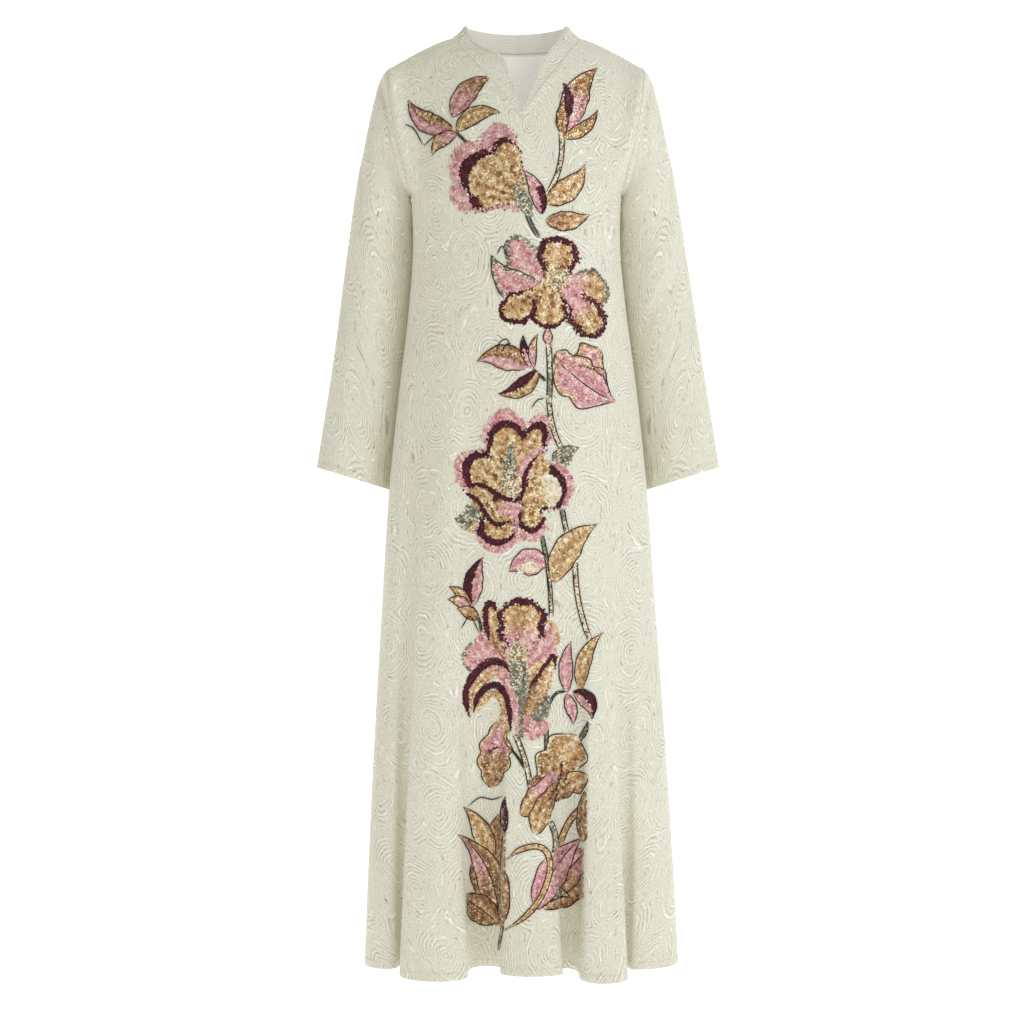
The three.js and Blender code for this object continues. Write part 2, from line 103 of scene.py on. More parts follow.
tip = (7.4, -93.5, -116)
neckSeam = np.array([
    tip, (23, -87, -92), (41, -75, -65), (60, -57, -39), (75, -38, -16), (87, -16, 3), (95, 6, 15),
    (84, 44, 12), (48, 72, 9), (0, 82, 8),
], float)
collarEdge = {
    "right": np.array([
        (7.4, -92.5, -110), (15.4, -85, -89), (23.4, -76, -68), (37.4, -58, -32), (52, -41, -8),
        (66, -20, 13), (75, 6, 34), (66, 37, 35.6), (37, 62, 35.2), (0, 70, 34.5),
    ]),
    "left": np.array([
        (7.4, -92.5, -110), (1, -85, -84), (-8, -73, -54), (-19, -60, -24), (-39, -46, -11),
        (-59, -22, 5), (-74, 6, 34), (-66, 37, 35.6), (-37, 62, 35.2), (0, 70, 34.5),
    ]),
}
sideStation = 6
neckShare = {"front": 0.6, "back": 0.55}
collarShape = {"raise": 1.3, "sag": 0.05, "firstStation": 0.15, "firstShare": 0.013, "rows": 13}

# outer point x, y, z, inner point x, y, z and half depth of each ring of a sleeve
sleeveRings = np.array([
    (186, 6, -30, 153, 6, -215, 48), (194, 7, -38.5, 155.6, 10, -219, 49),
    (200.5, 8, -52, 156, 15, -224, 50), (207, 10, -75, 155, 21, -232, 51),
    (216.2, 13, -110, 152.6, 29, -245, 53), (227, 18, -160, 150.5, 36, -262, 55),
    (237.4, 24, -222, 148, 43, -290, 56), (247, 29, -290, 150.5, 46, -335, 57),
    (258.8, 33, -370, 158, 48, -403, 56), (272, 36, -455, 167.5, 49, -480, 55),
    (285.8, 37, -540, 177, 49, -562, 54), (297, 37, -611, 186, 49, -645, 53),
])
sleeveShape = {"rings": 4, "startX": 0.6, "startZ": -0.25, "round": 112, "rows": 104, "flush": (0.15, 0.35)}
easing = {"passes": 60, "low": 12, "high": 7}  # rows over which a yoke's evening comes in and goes out
creaseFade = {"sides": 0.04, "topRows": 10, "power": 0.8}
hemLine = {"width": 2.2, "depth": 0.5, "rows": 4}
cuff = {"share": 0.14, "easeTop": 0.6, "easeEnd": 0.5}
# below the armpit the sleeve's body side swells until it rests on the body
armpitSwell = {"across": 22, "out": 3.8, "atZ": -231, "reach": 17}
collarEdgeRound = {"share": 0.12, "outer": 0.45, "wall": 0.7, "seamUp": 0.55, "seamIn": 0.9,
                   "stitchAt": 0.86, "stitchOut": 0.1}
cordShape = {"flat": 0.8, "endSlope": 8, "endSize": 0.35}
sharpDegrees = 50
# drop and topClear count rows of a yoke that has ofRows of them
halfMoon = {"drop": 4.4, "flat": 0.8, "clear": 0.9, "topClear": 0.12, "rows": 30, "ofRows": 7, "until": 0.99}

# soft creases: from x, z to x, z in mm, sideways bend, half width, depth (in below 0)
frontCreases = [
    (-132, -236, -56, -318, 10, 15, -3.0), (-134, -262, -80, -372, -8, 13, -2.4),
    (132, -232, 70, -296, -9, 13, -2.8), (134, -262, 92, -352, 7, 12, -2.0),
    (-160, -128, -150, -214, 4, 13, 1.4), (160, -128, 150, -214, -4, 13, 1.3),
    (-95, -860, -76, -1338, 3, 7, 3.0), (-84, -880, -64, -1338, 3, 6, -2.6),
    (-26, -930, -34, -1338, 0, 6, -2.4), (-17, -930, -24, -1338, 0, 7, 2.4),
    (92, -900, 82, -1338, -2, 6, -2.4), (101, -900, 92, -1338, -2, 7, 2.8),
    (-128, -70, -141, -186, 5, 12, -2.6), (133, -66, 145, -180, -5, 11, -2.2),
    (-92, -320, -118, -760, 10, 22, 3.0), (-58, -430, -72, -905, -6, 18, -2.6),
    (-20, -470, -28, -800, 5, 16, 2.0), (24, -505, 36, -880, 4, 17, -2.2),
    (70, -380, 92, -820, -8, 20, 2.8), (112, -330, 142, -700, 6, 16, -2.4),
    (-126, -520, -150, -1010, 8, 17, -2.4), (150, -760, 172, -1180, -6, 15, 2.4),
    (-30, -175, -36, -330, 6, 15, -1.8), (46, -150, 40, -330, -7, 16, -1.6),
    (-88, -95, -70, -190, 6, 13, 1.8), (98, -90, 84, -175, -6, 12, 1.8),
    (-176, -900, -196, -1290, 4, 14, 2.4), (-60, -1020, -58, -1300, 4, 12, -2.2),
    (64, -1010, 60, -1290, -3, 11, 2.0), (128, -1060, 126, -1310, 3, 12, -2.2),
]
backCreases = [
    (-140, -228, -52, -300, 9, 15, -3.2), (142, -232, 58, -312, -9, 15, -3.2),
    (-60, -120, -96, -236, 8, 14, -2.2), (64, -126, 98, -240, -8, 14, -2.2),
    (-4, -170, -10, -470, 6, 17, -2.4), (-78, -330, -104, -780, -8, 20, 2.8),
    (80, -350, 110, -760, 8, 19, 2.8), (-34, -460, -44, -900, 5, 17, -2.2),
    (36, -520, 46, -930, -5, 16, -2.0), (-130, -560, -156, -1040, 7, 16, -2.4),
    (128, -600, 160, -1080, -7, 17, -2.4), (0, -880, 4, -1260, 3, 14, 2.2),
    (-182, -980, -198, -1290, 3, 13, 2.2), (176, -960, 196, -1280, -3, 13, 2.0),
    (-70, -30, -40, -90, 5, 12, 1.6), (72, -32, 44, -96, -5, 12, 1.6),
]
# on a sleeve: mm round from the shoulder line (front above 0) and mm down from the cap
sleeveCreases = [
    (2, 26, 112, 14, 0, 12, -7.5), (-2, 26, -96, 14, 0, 12, -4.0),
    (128, 34, 34, 120, 10, 12, -3.0), (140, 70, 62, 190, -8, 12, -2.2),
    (-126, 40, -36, 132, -9, 12, -2.8), (118, 236, 28, 300, 9, 12, -2.6),
    (132, 286, 58, 338, -7, 10, 2.0), (-120, 250, -34, 318, 8, 12, -2.6),
    (20, 140, 34, 520, 6, 17, 2.4), (66, 330, 74, 560, -5, 14, -2.2),
    (-28, 180, -40, 540, -6, 16, -2.2), (-84, 350, -88, 575, 5, 14, 2.2),
    (98, 380, 110, 580, 4, 12, 2.0), (0, 60, 8, 150, 4, 13, -1.8),
]


def mix(a, b, t):
    return a + (b - a) * t


def clamp01(t):
    return np.clip(t, 0.0, 1.0)


def smooth(t):
    return t * t * (3 - 2 * t)


# Vectors divided by their own lengths.
def unit(vectors):
    return vectors / np.maximum(np.linalg.norm(vectors, axis=-1, keepdims=True), 1e-9)


# A smooth curve through rows of values: the straight step eased in and out, plus a bend from the
# slopes at the two rows, each slope shared between the steps on its two sides.
def curveThrough(at, value):
    at, value = np.asarray(at, float), np.asarray(value, float)
    step = np.diff(value) / np.diff(at)
    slope = np.concatenate([step[:1], np.zeros(len(at) - 2), step[-1:]])
    share = (at[1:-1] - at[:-2]) / (at[2:] - at[:-2])
    slope[1:-1] = mix(step[:-1], step[1:], share)

    def read(x):
        i = np.clip(np.searchsorted(at, x, side="right") - 1, 0, len(at) - 2)
        h = at[i + 1] - at[i]
        t = clamp01((x - at[i]) / h)
        bend = t * (1 - t) * h * (slope[i] * (1 - t) - slope[i + 1] * t)
        return mix(value[i], value[i + 1], smooth(t)) + bend

    return read


def pointsThrough(rows):
    curves = [curveThrough(range(len(rows)), rows[:, k]) for k in range(rows.shape[1])]
    return lambda s: np.stack([curve(np.asarray(s, float)) for curve in curves], -1)


halfAt, frontAt, backAt, cornerAt = [curveThrough(bodySections[:, 0], bodySections[:, k]) for k in range(1, 5)]
depthAt = {"front": frontAt, "back": backAt}
swayAt = curveThrough(swayRows[:, 0], swayRows[:, 1])
seamAt = pointsThrough(neckSeam)
edgeAt = {side: pointsThrough(rows) for side, rows in collarEdge.items()}
ringAt = pointsThrough(sleeveRings)
facing = {"front": -1, "back": 1}


# Nodes of the folded cloth: one at each side seam and one at the middle of each fold.
# Columns are hem share, high share, depth, lift, fade height, wall's hem share, wall's high share, has wall.
def foldNodes(folds):
    nodes = [(-1, -1, 0, folds[0][3], folds[0][4], 0, 0, 0)]
    before = (-1, -1)
    for k, (hem, high, depth, lift, top) in enumerate(folds):
        middle = ((before[0] + hem) / 2, (before[1] + high) / 2)
        nodes.append((*middle, depth, lift, top, before[0], before[1], int(k > 0)))
        before = (hem, high)
    nodes.append((1, 1, 0, folds[-1][3], folds[-1][4], 0, 0, 0))
    return np.array(nodes, float)


# Round the section at height z: the angle, how far the folds push the cloth out and the hem's lift.
# Between two fold middles the angle runs slowly, then fast, through the steep wall where they meet.
def foldAt(nodes, column, z):
    column, z = np.broadcast_arrays(np.asarray(column, float), np.asarray(z, float))
    k = np.clip(np.floor(column).astype(int), 0, len(nodes) - 2)
    t = column - k
    a, b = nodes[k], nodes[k + 1]
    rise = clamp01((z - hemZ) / (foldShape["settleZ"] - hemZ))

    def turnOf(hem, high):
        return np.arcsin(np.clip(mix(hem, high, rise), -1, 1)) / (math.pi / 2)

    def fadeOf(top):
        return clamp01((top - z) / (top - hemZ)) ** foldShape["fade"]

    turnA, turnB = turnOf(a[..., 0], a[..., 1]), turnOf(b[..., 0], b[..., 1])
    wall = turnOf(b[..., 5], b[..., 6])
    fadeA, fadeB = fadeOf(a[..., 4]), fadeOf(b[..., 4])
    wallShare = (wall - turnA) / (turnB - turnA)
    near = wallShare * np.sin(math.pi * t)
    far = 1 - (1 - wallShare) * np.sin(math.pi * (1 - t))
    steep = np.where(t < 0.5, near, far) + foldShape["overhang"] * np.sin(2 * math.pi * t)
    share = np.where(b[..., 7] > 0, mix(t, steep, (fadeA + fadeB) / 2), t)
    wave = (1 - np.cos(math.pi * t)) / 2
    angle = mix(turnA, turnB, share) * math.pi / 2
    return angle, mix(a[..., 2] * fadeA, b[..., 2] * fadeB, wave), mix(a[..., 3], b[..., 3], wave)


# Skirt and body: x is half width times the sine of the angle, y the depth times its cosine to the
# corner's power, then out along the section by the fold, with the hem lifted near the bottom.
def bodyPoint(panel, column, z):
    angle, out, lift = foldAt(panel["nodes"], column, z)
    z = np.broadcast_to(np.asarray(z, float), angle.shape)
    half, depth = halfAt(z), depthAt[panel["side"]](z)
    s, c = np.sin(angle), np.maximum(0, np.cos(angle))
    face = facing[panel["side"]]
    outX, outY = s / half, face * c / depth
    size = np.hypot(outX, outY)
    hang = clamp01((foldShape["liftTop"] - z) / (foldShape["liftTop"] - hemZ))
    y = sideSeamY + face * depth * c ** cornerAt(z)
    return np.stack([half * s + out * outX / size, y + out * outY / size, z + lift * hang], -1)


# Armhole seam: z runs as a cosine from armpit to shoulder, x leans in, y swells as a power of a sine.
def armholePoint(panel, share, sign):
    middle, reach = (shoulder["tipZ"] + armpitZ) / 2, (shoulder["tipZ"] - armpitZ) / 2
    z = middle - reach * np.cos(math.pi * share)
    drop = (shoulder["tipZ"] - z) / (2 * reach)
    deep = np.maximum(0, np.sin(math.pi * share)) ** armhole["round"]
    x = sign * (shoulder["tipX"] - armhole["lean"] * drop ** armhole["bend"])
    return np.stack([x, sideSeamY + facing[panel["side"]] * armhole["halfDepth"] * deep, z], -1)


def neckStation(side, q):
    share = np.minimum(1, np.abs(q) / neckShare[side])
    return mix(0 if side == "front" else len(neckSeam) - 1, sideStation, share)


# A panel's top edge at q: the neck seam near the middle, then the sloping shoulder out to its tip.
def topPoint(side, q):
    q = np.asarray(q, float)
    point = seamAt(neckStation(side, q))
    middle = tip[0] if side == "front" else 0
    stretch = (shoulder["neckX"] + middle) / (shoulder["neckX"] - middle)
    neck = point.copy()
    neck[..., 0] = np.where(q > 0, point[..., 0], middle - (point[..., 0] - middle) * stretch)
    share = neckShare[side]
    t = clamp01((np.abs(q) - share) / (1 - share))
    x = np.where(q < 0, -1, 1) * mix(shoulder["neckX"], shoulder["tipX"], t)
    z = mix(shoulder["neckZ"], shoulder["tipZ"], t ** shoulder["bend"])
    out = np.stack([x, np.full_like(x, sideSeamY, dtype=float), z], -1)
    return np.where((np.abs(q) < share)[..., None], neck, out)


def straightEnd(panel, column):
    middle = tip[0] / shoulder["tipX"] if panel["side"] == "front" else 0
    x = np.sin(foldAt(panel["nodes"], column, armpitZ)[0])
    return np.where(x < middle, (x - middle) / (1 + middle), (x - middle) / (1 - middle))


def topShare(panel, column):
    q = np.interp(straightEnd(panel, column), panel["stopsFrom"], panel["stopsTo"])
    return np.where(np.abs(q) < 1e-9, 0, q)


# Chest and shoulders: each column is a cubic curve from upright at the armpits to the top edge, where it
# arrives heading back, and near the side it is drawn to the armhole by powers of the angle's sine.
def yokePoint(panel, column, turn):
    side = panel["side"]
    t2, t3 = turn ** 2, turn ** 3

    def curve(c, q):
        low, top = bodyPoint(panel, c, armpitZ), topPoint(side, q)
        over = smooth(clamp01(np.abs(q) / yokeRound["until"]))
        back, up = top[..., 1] - low[..., 1], top[..., 2] - low[..., 2]
        slump = mix(yokeRound["slump"][side], 0, over) * up
        zero = np.zeros_like(up)
        leave = np.stack([zero, zero, up], -1)
        arrive = np.stack([zero, yokeRound["back"] * back - slump, mix(1, yokeRound["up"], over) * up], -1)
        places = low * (2 * t3 - 3 * t2 + 1) + top * (3 * t2 - 2 * t3)
        return places + leave * (t3 - 2 * t2 + turn) + arrive * (t3 - t2)

    q = topShare(panel, column)
    sign = np.where(q < 0, -1, 1)
    ends = {s: curve(np.array(float(len(panel["nodes"]) - 1 if s > 0 else 0)), np.array(float(s))) for s in (-1, 1)}
    edges = {s: armholePoint(panel, turn[..., 0], s) - ends[s] for s in (-1, 1)}
    away = np.where((sign > 0)[..., None], edges[1], edges[-1])
    reach = np.abs(np.sin(foldAt(panel["nodes"], column, armpitZ)[0]))
    weight = np.stack([reach ** armhole["sideways"], reach ** armhole["forward"], reach ** armhole["sideways"]], -1)
    return curve(column, q) + away * weight


# Unit normals of a grid: the step along the row crossed with the step between rows.
def gridNormals(grid, wrapped, sign):
    if wrapped:
        along = np.roll(grid, -1, 1) - np.roll(grid, 1, 1)
    else:
        inner = grid[:, 2:] - grid[:, :-2]
        along = np.concatenate([grid[:, 1:2] - grid[:, :1], inner, grid[:, -1:] - grid[:, -2:-1]], 1)
    up = np.concatenate([grid[1:2] - grid[:1], grid[2:] - grid[:-2], grid[-1:] - grid[-2:-1]], 0)
    return unit(np.cross(along, up) * sign)


# Each soft crease is a bent line: the cloth moves by its depth times a bell of the distance from the
# line, and dies away at both ends as a sine.
def creased(x, z, rows):
    moved = np.zeros_like(x)
    for x0, z0, x1, z1, bend, width, depth in rows:
        dx, dz = x1 - x0, z1 - z0
        size = math.hypot(dx, dz)
        t = clamp01(((x - x0) * dx + (z - z0) * dz) / size ** 2)
        bow = 4 * bend * t * (1 - t)
        away = np.hypot(x - (x0 + dx * t - dz / size * bow), z - (z0 + dz * t + dx / size * bow))
        moved += depth * np.sin(math.pi * t) ** creaseFade["power"] * np.exp(-((away / width) ** 2))
    return moved


# Distance along one axis of a grid from its start, summed step by step.
def arcLength(grid, axis):
    steps = np.linalg.norm(np.diff(grid, axis=axis), axis=-1)
    start = np.zeros_like(np.take(steps, [0], axis))
    return np.concatenate([start, np.cumsum(steps, axis)], axis)


# How far the stitch line of a turned edge draws the cloth in: a bell round the height of the turning.
def stitchLine(height):
    return hemLine["depth"] * np.exp(-((height - turnedHem["height"]) / hemLine["width"]) ** 2)


# The wall of a turned edge: thick up to the height of the turning, then eased to the cloth's own.
def turnedWall(height):
    return mix(turnedHem["wall"], clothWall, smooth(clamp01((height - turnedHem["height"]) / 1.5 + 0.5)))


def makePanel(side, folds, creases):
    nodes = foldNodes(folds)
    panel = {"side": side, "nodes": nodes}
    coarse = np.arange((len(nodes) - 1) * perFold[side] + 1) / perFold[side]
    ends = straightEnd(panel, coarse)
    share = neckShare[side]
    panel["stopsTo"] = np.array([-1, -share, 0, share, 1])
    panel["stopsFrom"] = np.array([ends[np.argmin(np.abs(ends - q))] for q in panel["stopsTo"]])
    fine = perFold[side] * finer[side]
    columns = np.arange((len(nodes) - 1) * fine + 1) / fine
    levels = np.concatenate([
        np.linspace(hemZ, hemZ + turnedHem["height"], hemLine["rows"] + 1)[:-1],
        np.linspace(hemZ + turnedHem["height"], armpitZ, finer["skirtRows"]),
    ])
    turns = np.arange(1, finer["yokeRows"] + 1) / finer["yokeRows"]
    skirt = bodyPoint(panel, columns[None, :], levels[:, None])
    yoke = yokePoint(panel, np.broadcast_to(columns, (len(turns), len(columns))), turns[:, None, None])
    rows = np.concatenate([skirt, yoke])
    # the columns drawn to the neck's corners leave a faint ridge, so each row is averaged a little
    above, below = np.arange(len(rows)) - len(levels), np.arange(len(rows))[::-1]
    level = smooth(clamp01(above / easing["low"])) * smooth(clamp01(below / easing["high"]))
    for _ in range(easing["passes"]):
        eased = (rows[:, :-2] + 2 * rows[:, 1:-1] + rows[:, 2:]) / 4
        rows[:, 1:-1] = mix(rows[:, 1:-1], eased, level[:, None, None])
    normals = gridNormals(rows, False, -facing[side])
    panel["columns"], panel["skirtCount"] = columns, len(levels)
    # creases fade to nothing at the seams, so the pieces still meet there
    count = len(columns)
    fromSide = np.minimum(np.arange(count), np.arange(count)[::-1])
    inward = smooth(clamp01(fromSide / (creaseFade["sides"] * count)))[None, :]
    fromTop = smooth(clamp01(below / creaseFade["topRows"]))[:, None]
    amount = creased(rows[..., 0], rows[..., 2], creases) * inward * fromTop
    # the stitch line of the turned hem draws the cloth in a little
    amount -= stitchLine(rows[..., 2] - rows[0, :, 2])
    rows = rows + normals * amount[..., None]
    normals = gridNormals(rows, False, -facing[side])
    onSide = np.zeros(rows.shape[:2], bool)
    onSide[: len(levels), [0, -1]] = True
    onSide[-1] = np.abs(rows[-1, :, 0]) > shoulder["neckX"] - 0.01
    rows[onSide, 1] += facing[side] * seamGap / 2
    normals[onSide, 1] = 0
    normals = unit(normals)
    height = rows[..., 2] - rows[0, :, 2]
    wall = turnedWall(height)
    panel["rows"], panel["inner"] = rows, rows - normals * wall[..., None]
    across = arcLength(rows, 1)
    across -= across[:, [count // 2]]
    panel["cloth"] = np.stack([across, arcLength(rows, 0)], -1) * mm
    return panel


# Both panels' armhole edges as one loop: share 0 at the armpit and 1 at the shoulder.
def armholeLoop(front, back, sign, turn, key):
    def edge(panel, share):
        at = share * finer["yokeRows"]
        r = np.minimum(finer["yokeRows"] - 1, np.floor(at)).astype(int)
        line = panel[key][panel["skirtCount"] - 1:, -1 if sign > 0 else 0]
        return mix(line[r], line[r + 1], (at - r)[:, None])

    share = 1 - 2 * np.abs(turn)
    a, b = edge(front, share), edge(back, share)
    both = (turn == 0) | (np.abs(turn) == 0.5)
    return np.where(both[:, None], (a + b) / 2, np.where((turn > 0)[:, None], a, b))


# Normals of a tube's grid, turned so that they point away from its middle.
def outwardNormals(rows, sign):
    normals = gridNormals(rows, True, sign)
    return normals * np.sign((normals * (rows - rows.mean(1, keepdims=True))).sum(-1).mean())


# A sleeve ring runs between its inner and outer point as a cosine, with a sine to a power for its
# depth. The first rings follow the armhole and ease into the table's.
def makeSleeve(front, back, sign):
    count = sleeveShape["round"]
    turn = np.arange(count) / count - 0.5
    last = len(sleeveRings) - 1
    cuffAt = last - cuff["share"]
    ends = hemLine["rows"]
    s = np.concatenate([np.linspace(0, cuffAt, sleeveShape["rows"] - ends), np.linspace(cuffAt, last, ends + 1)[1:]])
    ring = ringAt(s)[:, None, :]
    c, d = np.cos(2 * math.pi * turn), np.sin(2 * math.pi * turn)
    roundness = mix(armhole["round"], 1, clamp01(s / sleeveShape["rings"]))[:, None]
    deep = np.sign(d) * np.abs(d) ** roundness
    half = (1 + c) / 2

    def ringPoint(table, depth):
        return np.stack([
            sign * mix(table[..., 3], table[..., 0], half),
            mix(table[..., 4], table[..., 1], half) - table[..., 6] * depth,
            mix(table[..., 5], table[..., 2], half),
        ], -1)

    start = np.array([sign * sleeveShape["startX"], 0, sleeveShape["startZ"]])
    outer = armholeLoop(front, back, sign, turn, "rows") + start
    away = outer - ringPoint(ringAt(np.array([0.0]))[:, None, :], deep[:1])[0]
    follow = 1 - smooth(clamp01(s / sleeveShape["rings"]))
    rows = ringPoint(ring, deep) + away[None] * follow[:, None, None]
    normals = outwardNormals(rows, sign)
    closed = np.concatenate([rows, rows[:, :1]], 1)
    around = arcLength(closed, 1)
    around -= around[:, [count // 2]]
    down = arcLength(rows, 0)
    ease = (smooth(clamp01(s / cuff["easeTop"])) * smooth(clamp01((last - s) / cuff["easeEnd"])))[:, None]
    moved = creased(around[:, :-1], down, sleeveCreases) * ease
    rows = rows + normals * (moved - stitchLine(down[-1:] - down))[..., None]
    middle = (rows[..., 0].max(1) + rows[..., 0].min(1))[:, None] / 2
    bodySide = clamp01((middle - rows[..., 0]) * sign / armpitSwell["across"])
    bell = np.exp(-((rows[..., 2] - armpitSwell["atZ"]) / armpitSwell["reach"]) ** 2)
    rows[..., 0] -= sign * armpitSwell["out"] * bodySide * bell
    normals = outwardNormals(rows, sign)
    wall = turnedWall(down[-1:] - down)
    inner = rows - normals * wall[..., None]
    share = 1 - 2 * np.abs(turn)
    low, over = sleeveShape["flush"]
    flush = smooth(clamp01((share - low) / over))[:, None]
    inner[0] = mix(inner[0], armholeLoop(front, back, sign, turn, "inner") + start, flush)
    cloth = np.stack([around, np.concatenate([-down, -down[:, :1]], 1)], -1) * mm
    return {"rows": rows, "inner": inner, "cloth": cloth}


# The collar: straight lines from the neck seam to its free edge, sagging by a sine between them.
def makeCollar(front, back):
    parts = []
    for panel, order in ((front, 1), (back, -1), (front, 1)):
        q = topShare(panel, panel["columns"])
        points = panel["rows"][-1]
        keep = np.abs(q) < neckShare[panel["side"]] + 1e-6
        keep &= (q != 0) if panel is front else np.abs(q) < neckShare["back"] - 1e-6
        if panel is front:
            keep &= (q > 0) if not parts else (q < 0)
        parts.append((panel["side"], q[keep][::order], points[keep][::order]))
    first = collarShape["firstShare"]
    ends = [("front", np.array([e]), topPoint("front", np.array([e]))) for e in (first, -first)]
    parts = [ends[0], *parts, ends[1]]
    point = np.concatenate([p[2] for p in parts])
    station = np.concatenate([neckStation(p[0], p[1]) for p in parts])
    station = np.maximum(station, collarShape["firstStation"])
    q = np.concatenate([p[1] for p in parts])
    edge = np.where((q > 0)[:, None], edgeAt["right"](station), edgeAt["left"](station))
    across = edge - point
    size = np.linalg.norm(across, axis=-1, keepdims=True)
    start = point + across / size * collarShape["raise"]
    t = np.linspace(0, 1, collarShape["rows"])[:, None, None]
    rows = mix(start, edge, t)
    rows[..., 2] -= collarShape["sag"] * np.sin(math.pi * t[..., 0]) * size[:, 0]
    # the folded top edge and the seam side are a little thinner than the middle
    normals = gridNormals(rows, False, 1)
    look = collarEdgeRound
    thin = 1 - np.minimum(1, np.minimum(t[..., 0], 1 - t[..., 0]) / look["share"])
    rows = rows - normals * (look["outer"] * thin)[..., None]
    inner = rows - normals * (collarWall - look["wall"] * thin)[..., None]
    cloth = np.stack([np.broadcast_to(arcLength(point, 0), rows.shape[:2]), arcLength(rows, 0)], -1) * mm
    seam = point + across / size * look["seamUp"] - normals[0] * look["seamIn"]
    stitched = mix(start, edge, look["stitchAt"]) + normals[-1] * look["stitchOut"]
    return {"rows": rows, "inner": inner, "cloth": cloth, "seam": seam, "edge": stitched, "normals": normals}


# The half-moon lining: the back panel's own columns, down by a flattened half circle, moved inside.
def makeLining(back):
    q = topShare(back, back["columns"]) / neckShare["back"]
    keep = np.abs(q) < halfMoon["until"]
    last = len(back["rows"]) - 1
    perRow = finer["yokeRows"] / halfMoon["ofRows"]
    deep = halfMoon["drop"] * perRow * np.sqrt(1 - halfMoon["flat"] * q[keep] ** 2)
    share = np.linspace(0, 1, halfMoon["rows"])[:, None]
    at = last - mix(deep[None, :], halfMoon["topClear"] * perRow, share)
    r = np.clip(np.ceil(at).astype(int) - 1, 0, last - 1)
    column = np.broadcast_to(np.nonzero(keep)[0], at.shape)

    def along(key):
        grid = back[key]
        return mix(grid[r, column], grid[r + 1, column], (at - r)[..., None])

    outer, inner = along("rows"), along("inner")
    rows = inner + unit(inner - outer) * halfMoon["clear"]
    normals = gridNormals(rows, False, -facing["back"])
    cloth = np.stack([arcLength(rows, 1), arcLength(rows, 0)], -1) * mm
    return {"rows": rows, "inner": rows - normals * liningWall, "cloth": cloth}


# A mesh and its object, with its materials in their order. Shade-to-glint values, for painted shade and glint, are
# one number for each face.
def addPiece(name, points, faces, materials, shadesToGlints=None, smoothFaces=True):
    mesh = bpy.data.meshes.new(name)
    mesh.from_pydata(np.asarray(points).tolist(), [], faces if isinstance(faces, list) else faces.tolist())
    for material in materials:
        mesh.materials.append(material)
    if shadesToGlints is not None:
        mesh.attributes.new("tone", "FLOAT", "FACE").data.foreach_set("value", np.asarray(shadesToGlints, np.float32))
    mesh.polygons.foreach_set("use_smooth", np.full(len(faces), smoothFaces))
    mesh.update()
    made = bpy.data.objects.new(name, mesh)
    bpy.context.scene.collection.objects.link(made)
    return made


# Points moved sideways by the garment's slight sway at their height.
def swayed(points):
    return points + np.stack([swayAt(points[..., 2]), 0 * points[..., 2], 0 * points[..., 2]], -1)


# A closed wall between two grids of points, the outer face and the inner face, with its four rims.
def wallMesh(name, piece, wrapped, materials):
    rows, inner, cloth = swayed(piece["rows"]), swayed(piece["inner"]), piece["cloth"]
    height, count = rows.shape[:2]
    points = np.concatenate([rows.reshape(-1, 3), inner.reshape(-1, 3)]) * mm
    spans = count if wrapped else count - 1
    r, i = np.meshgrid(np.arange(height - 1), np.arange(spans), indexing="ij")
    r, i, k, up = r.ravel(), i.ravel(), np.arange(spans), np.arange(height - 1)
    # each patch of faces as its four corners: row, column and layer, outer 0 or inner 1
    outer = [(r, i, 0), (r, i + 1, 0), (r + 1, i + 1, 0), (r + 1, i, 0)]
    patches = [
        outer, [(row, column, 1) for row, column, _ in outer[::-1]],
        [(0, k, 0), (0, k, 1), (0, k + 1, 1), (0, k + 1, 0)],
        [(height - 1, k, 0), (height - 1, k + 1, 0), (height - 1, k + 1, 1), (height - 1, k, 1)],
    ]
    if not wrapped:
        for side, order in ((0, 1), (count - 1, -1)):
            patches.append([(up, side, 0), (up + 1, side, 0), (up + 1, side, 1), (up, side, 1)][::order])

    def gather(read):
        return np.concatenate([np.stack([read(*corner) for corner in patch], 1) for patch in patches])

    quads = gather(lambda row, column, layer: layer * height * count + row * count + column % count)
    place = gather(lambda row, column, layer: cloth[row, column])
    inside = np.arange(len(quads)) // len(r) == 1
    a, b, c, d = [points[quads[:, n]] for n in range(4)]
    if (a * np.cross(b, c)).sum() + (a * np.cross(c, d)).sum() < 0:
        quads, place = quads[:, ::-1], place[:, ::-1]
    made = addPiece(name, points, quads, materials)
    mesh = made.data
    mesh.uv_layers.new(name="cloth").data.foreach_set("uv", np.ascontiguousarray(place, dtype=np.float32).ravel())
    mesh.polygons.foreach_set("material_index", inside.astype(np.int32) * (len(materials) > 1))
    mesh.set_sharp_from_angle(angle=math.radians(sharpDegrees))
    return made


# Tubes round lines of points: a ring of sides about each point, closed by its end rings.
def tubes(name, lines, radius, material, sides=5, taper=False):
    points, faces, base = [], [], 0
    turn = np.arange(sides) * 2 * math.pi / sides
    for line, normal in lines:
        ahead = unit(np.gradient(line, axis=0))
        side = unit(np.cross(ahead, normal))
        share = np.linspace(0, 1, len(line))
        ends = np.clip(np.minimum(share, 1 - share) * cordShape["endSlope"], cordShape["endSize"], 1)
        size = radius * (ends if taper else np.ones(len(line)))
        up = np.cross(side, ahead) * cordShape["flat"]
        ring = side[:, None] * np.cos(turn)[None, :, None] + up[:, None] * np.sin(turn)[None, :, None]
        points.append((line[:, None] + ring * size[:, None, None]).reshape(-1, 3))
        faces.extend(ringFaces(base, len(line), sides))
        base += len(line) * sides
    return addPiece(name, np.concatenate(points), faces, [material])


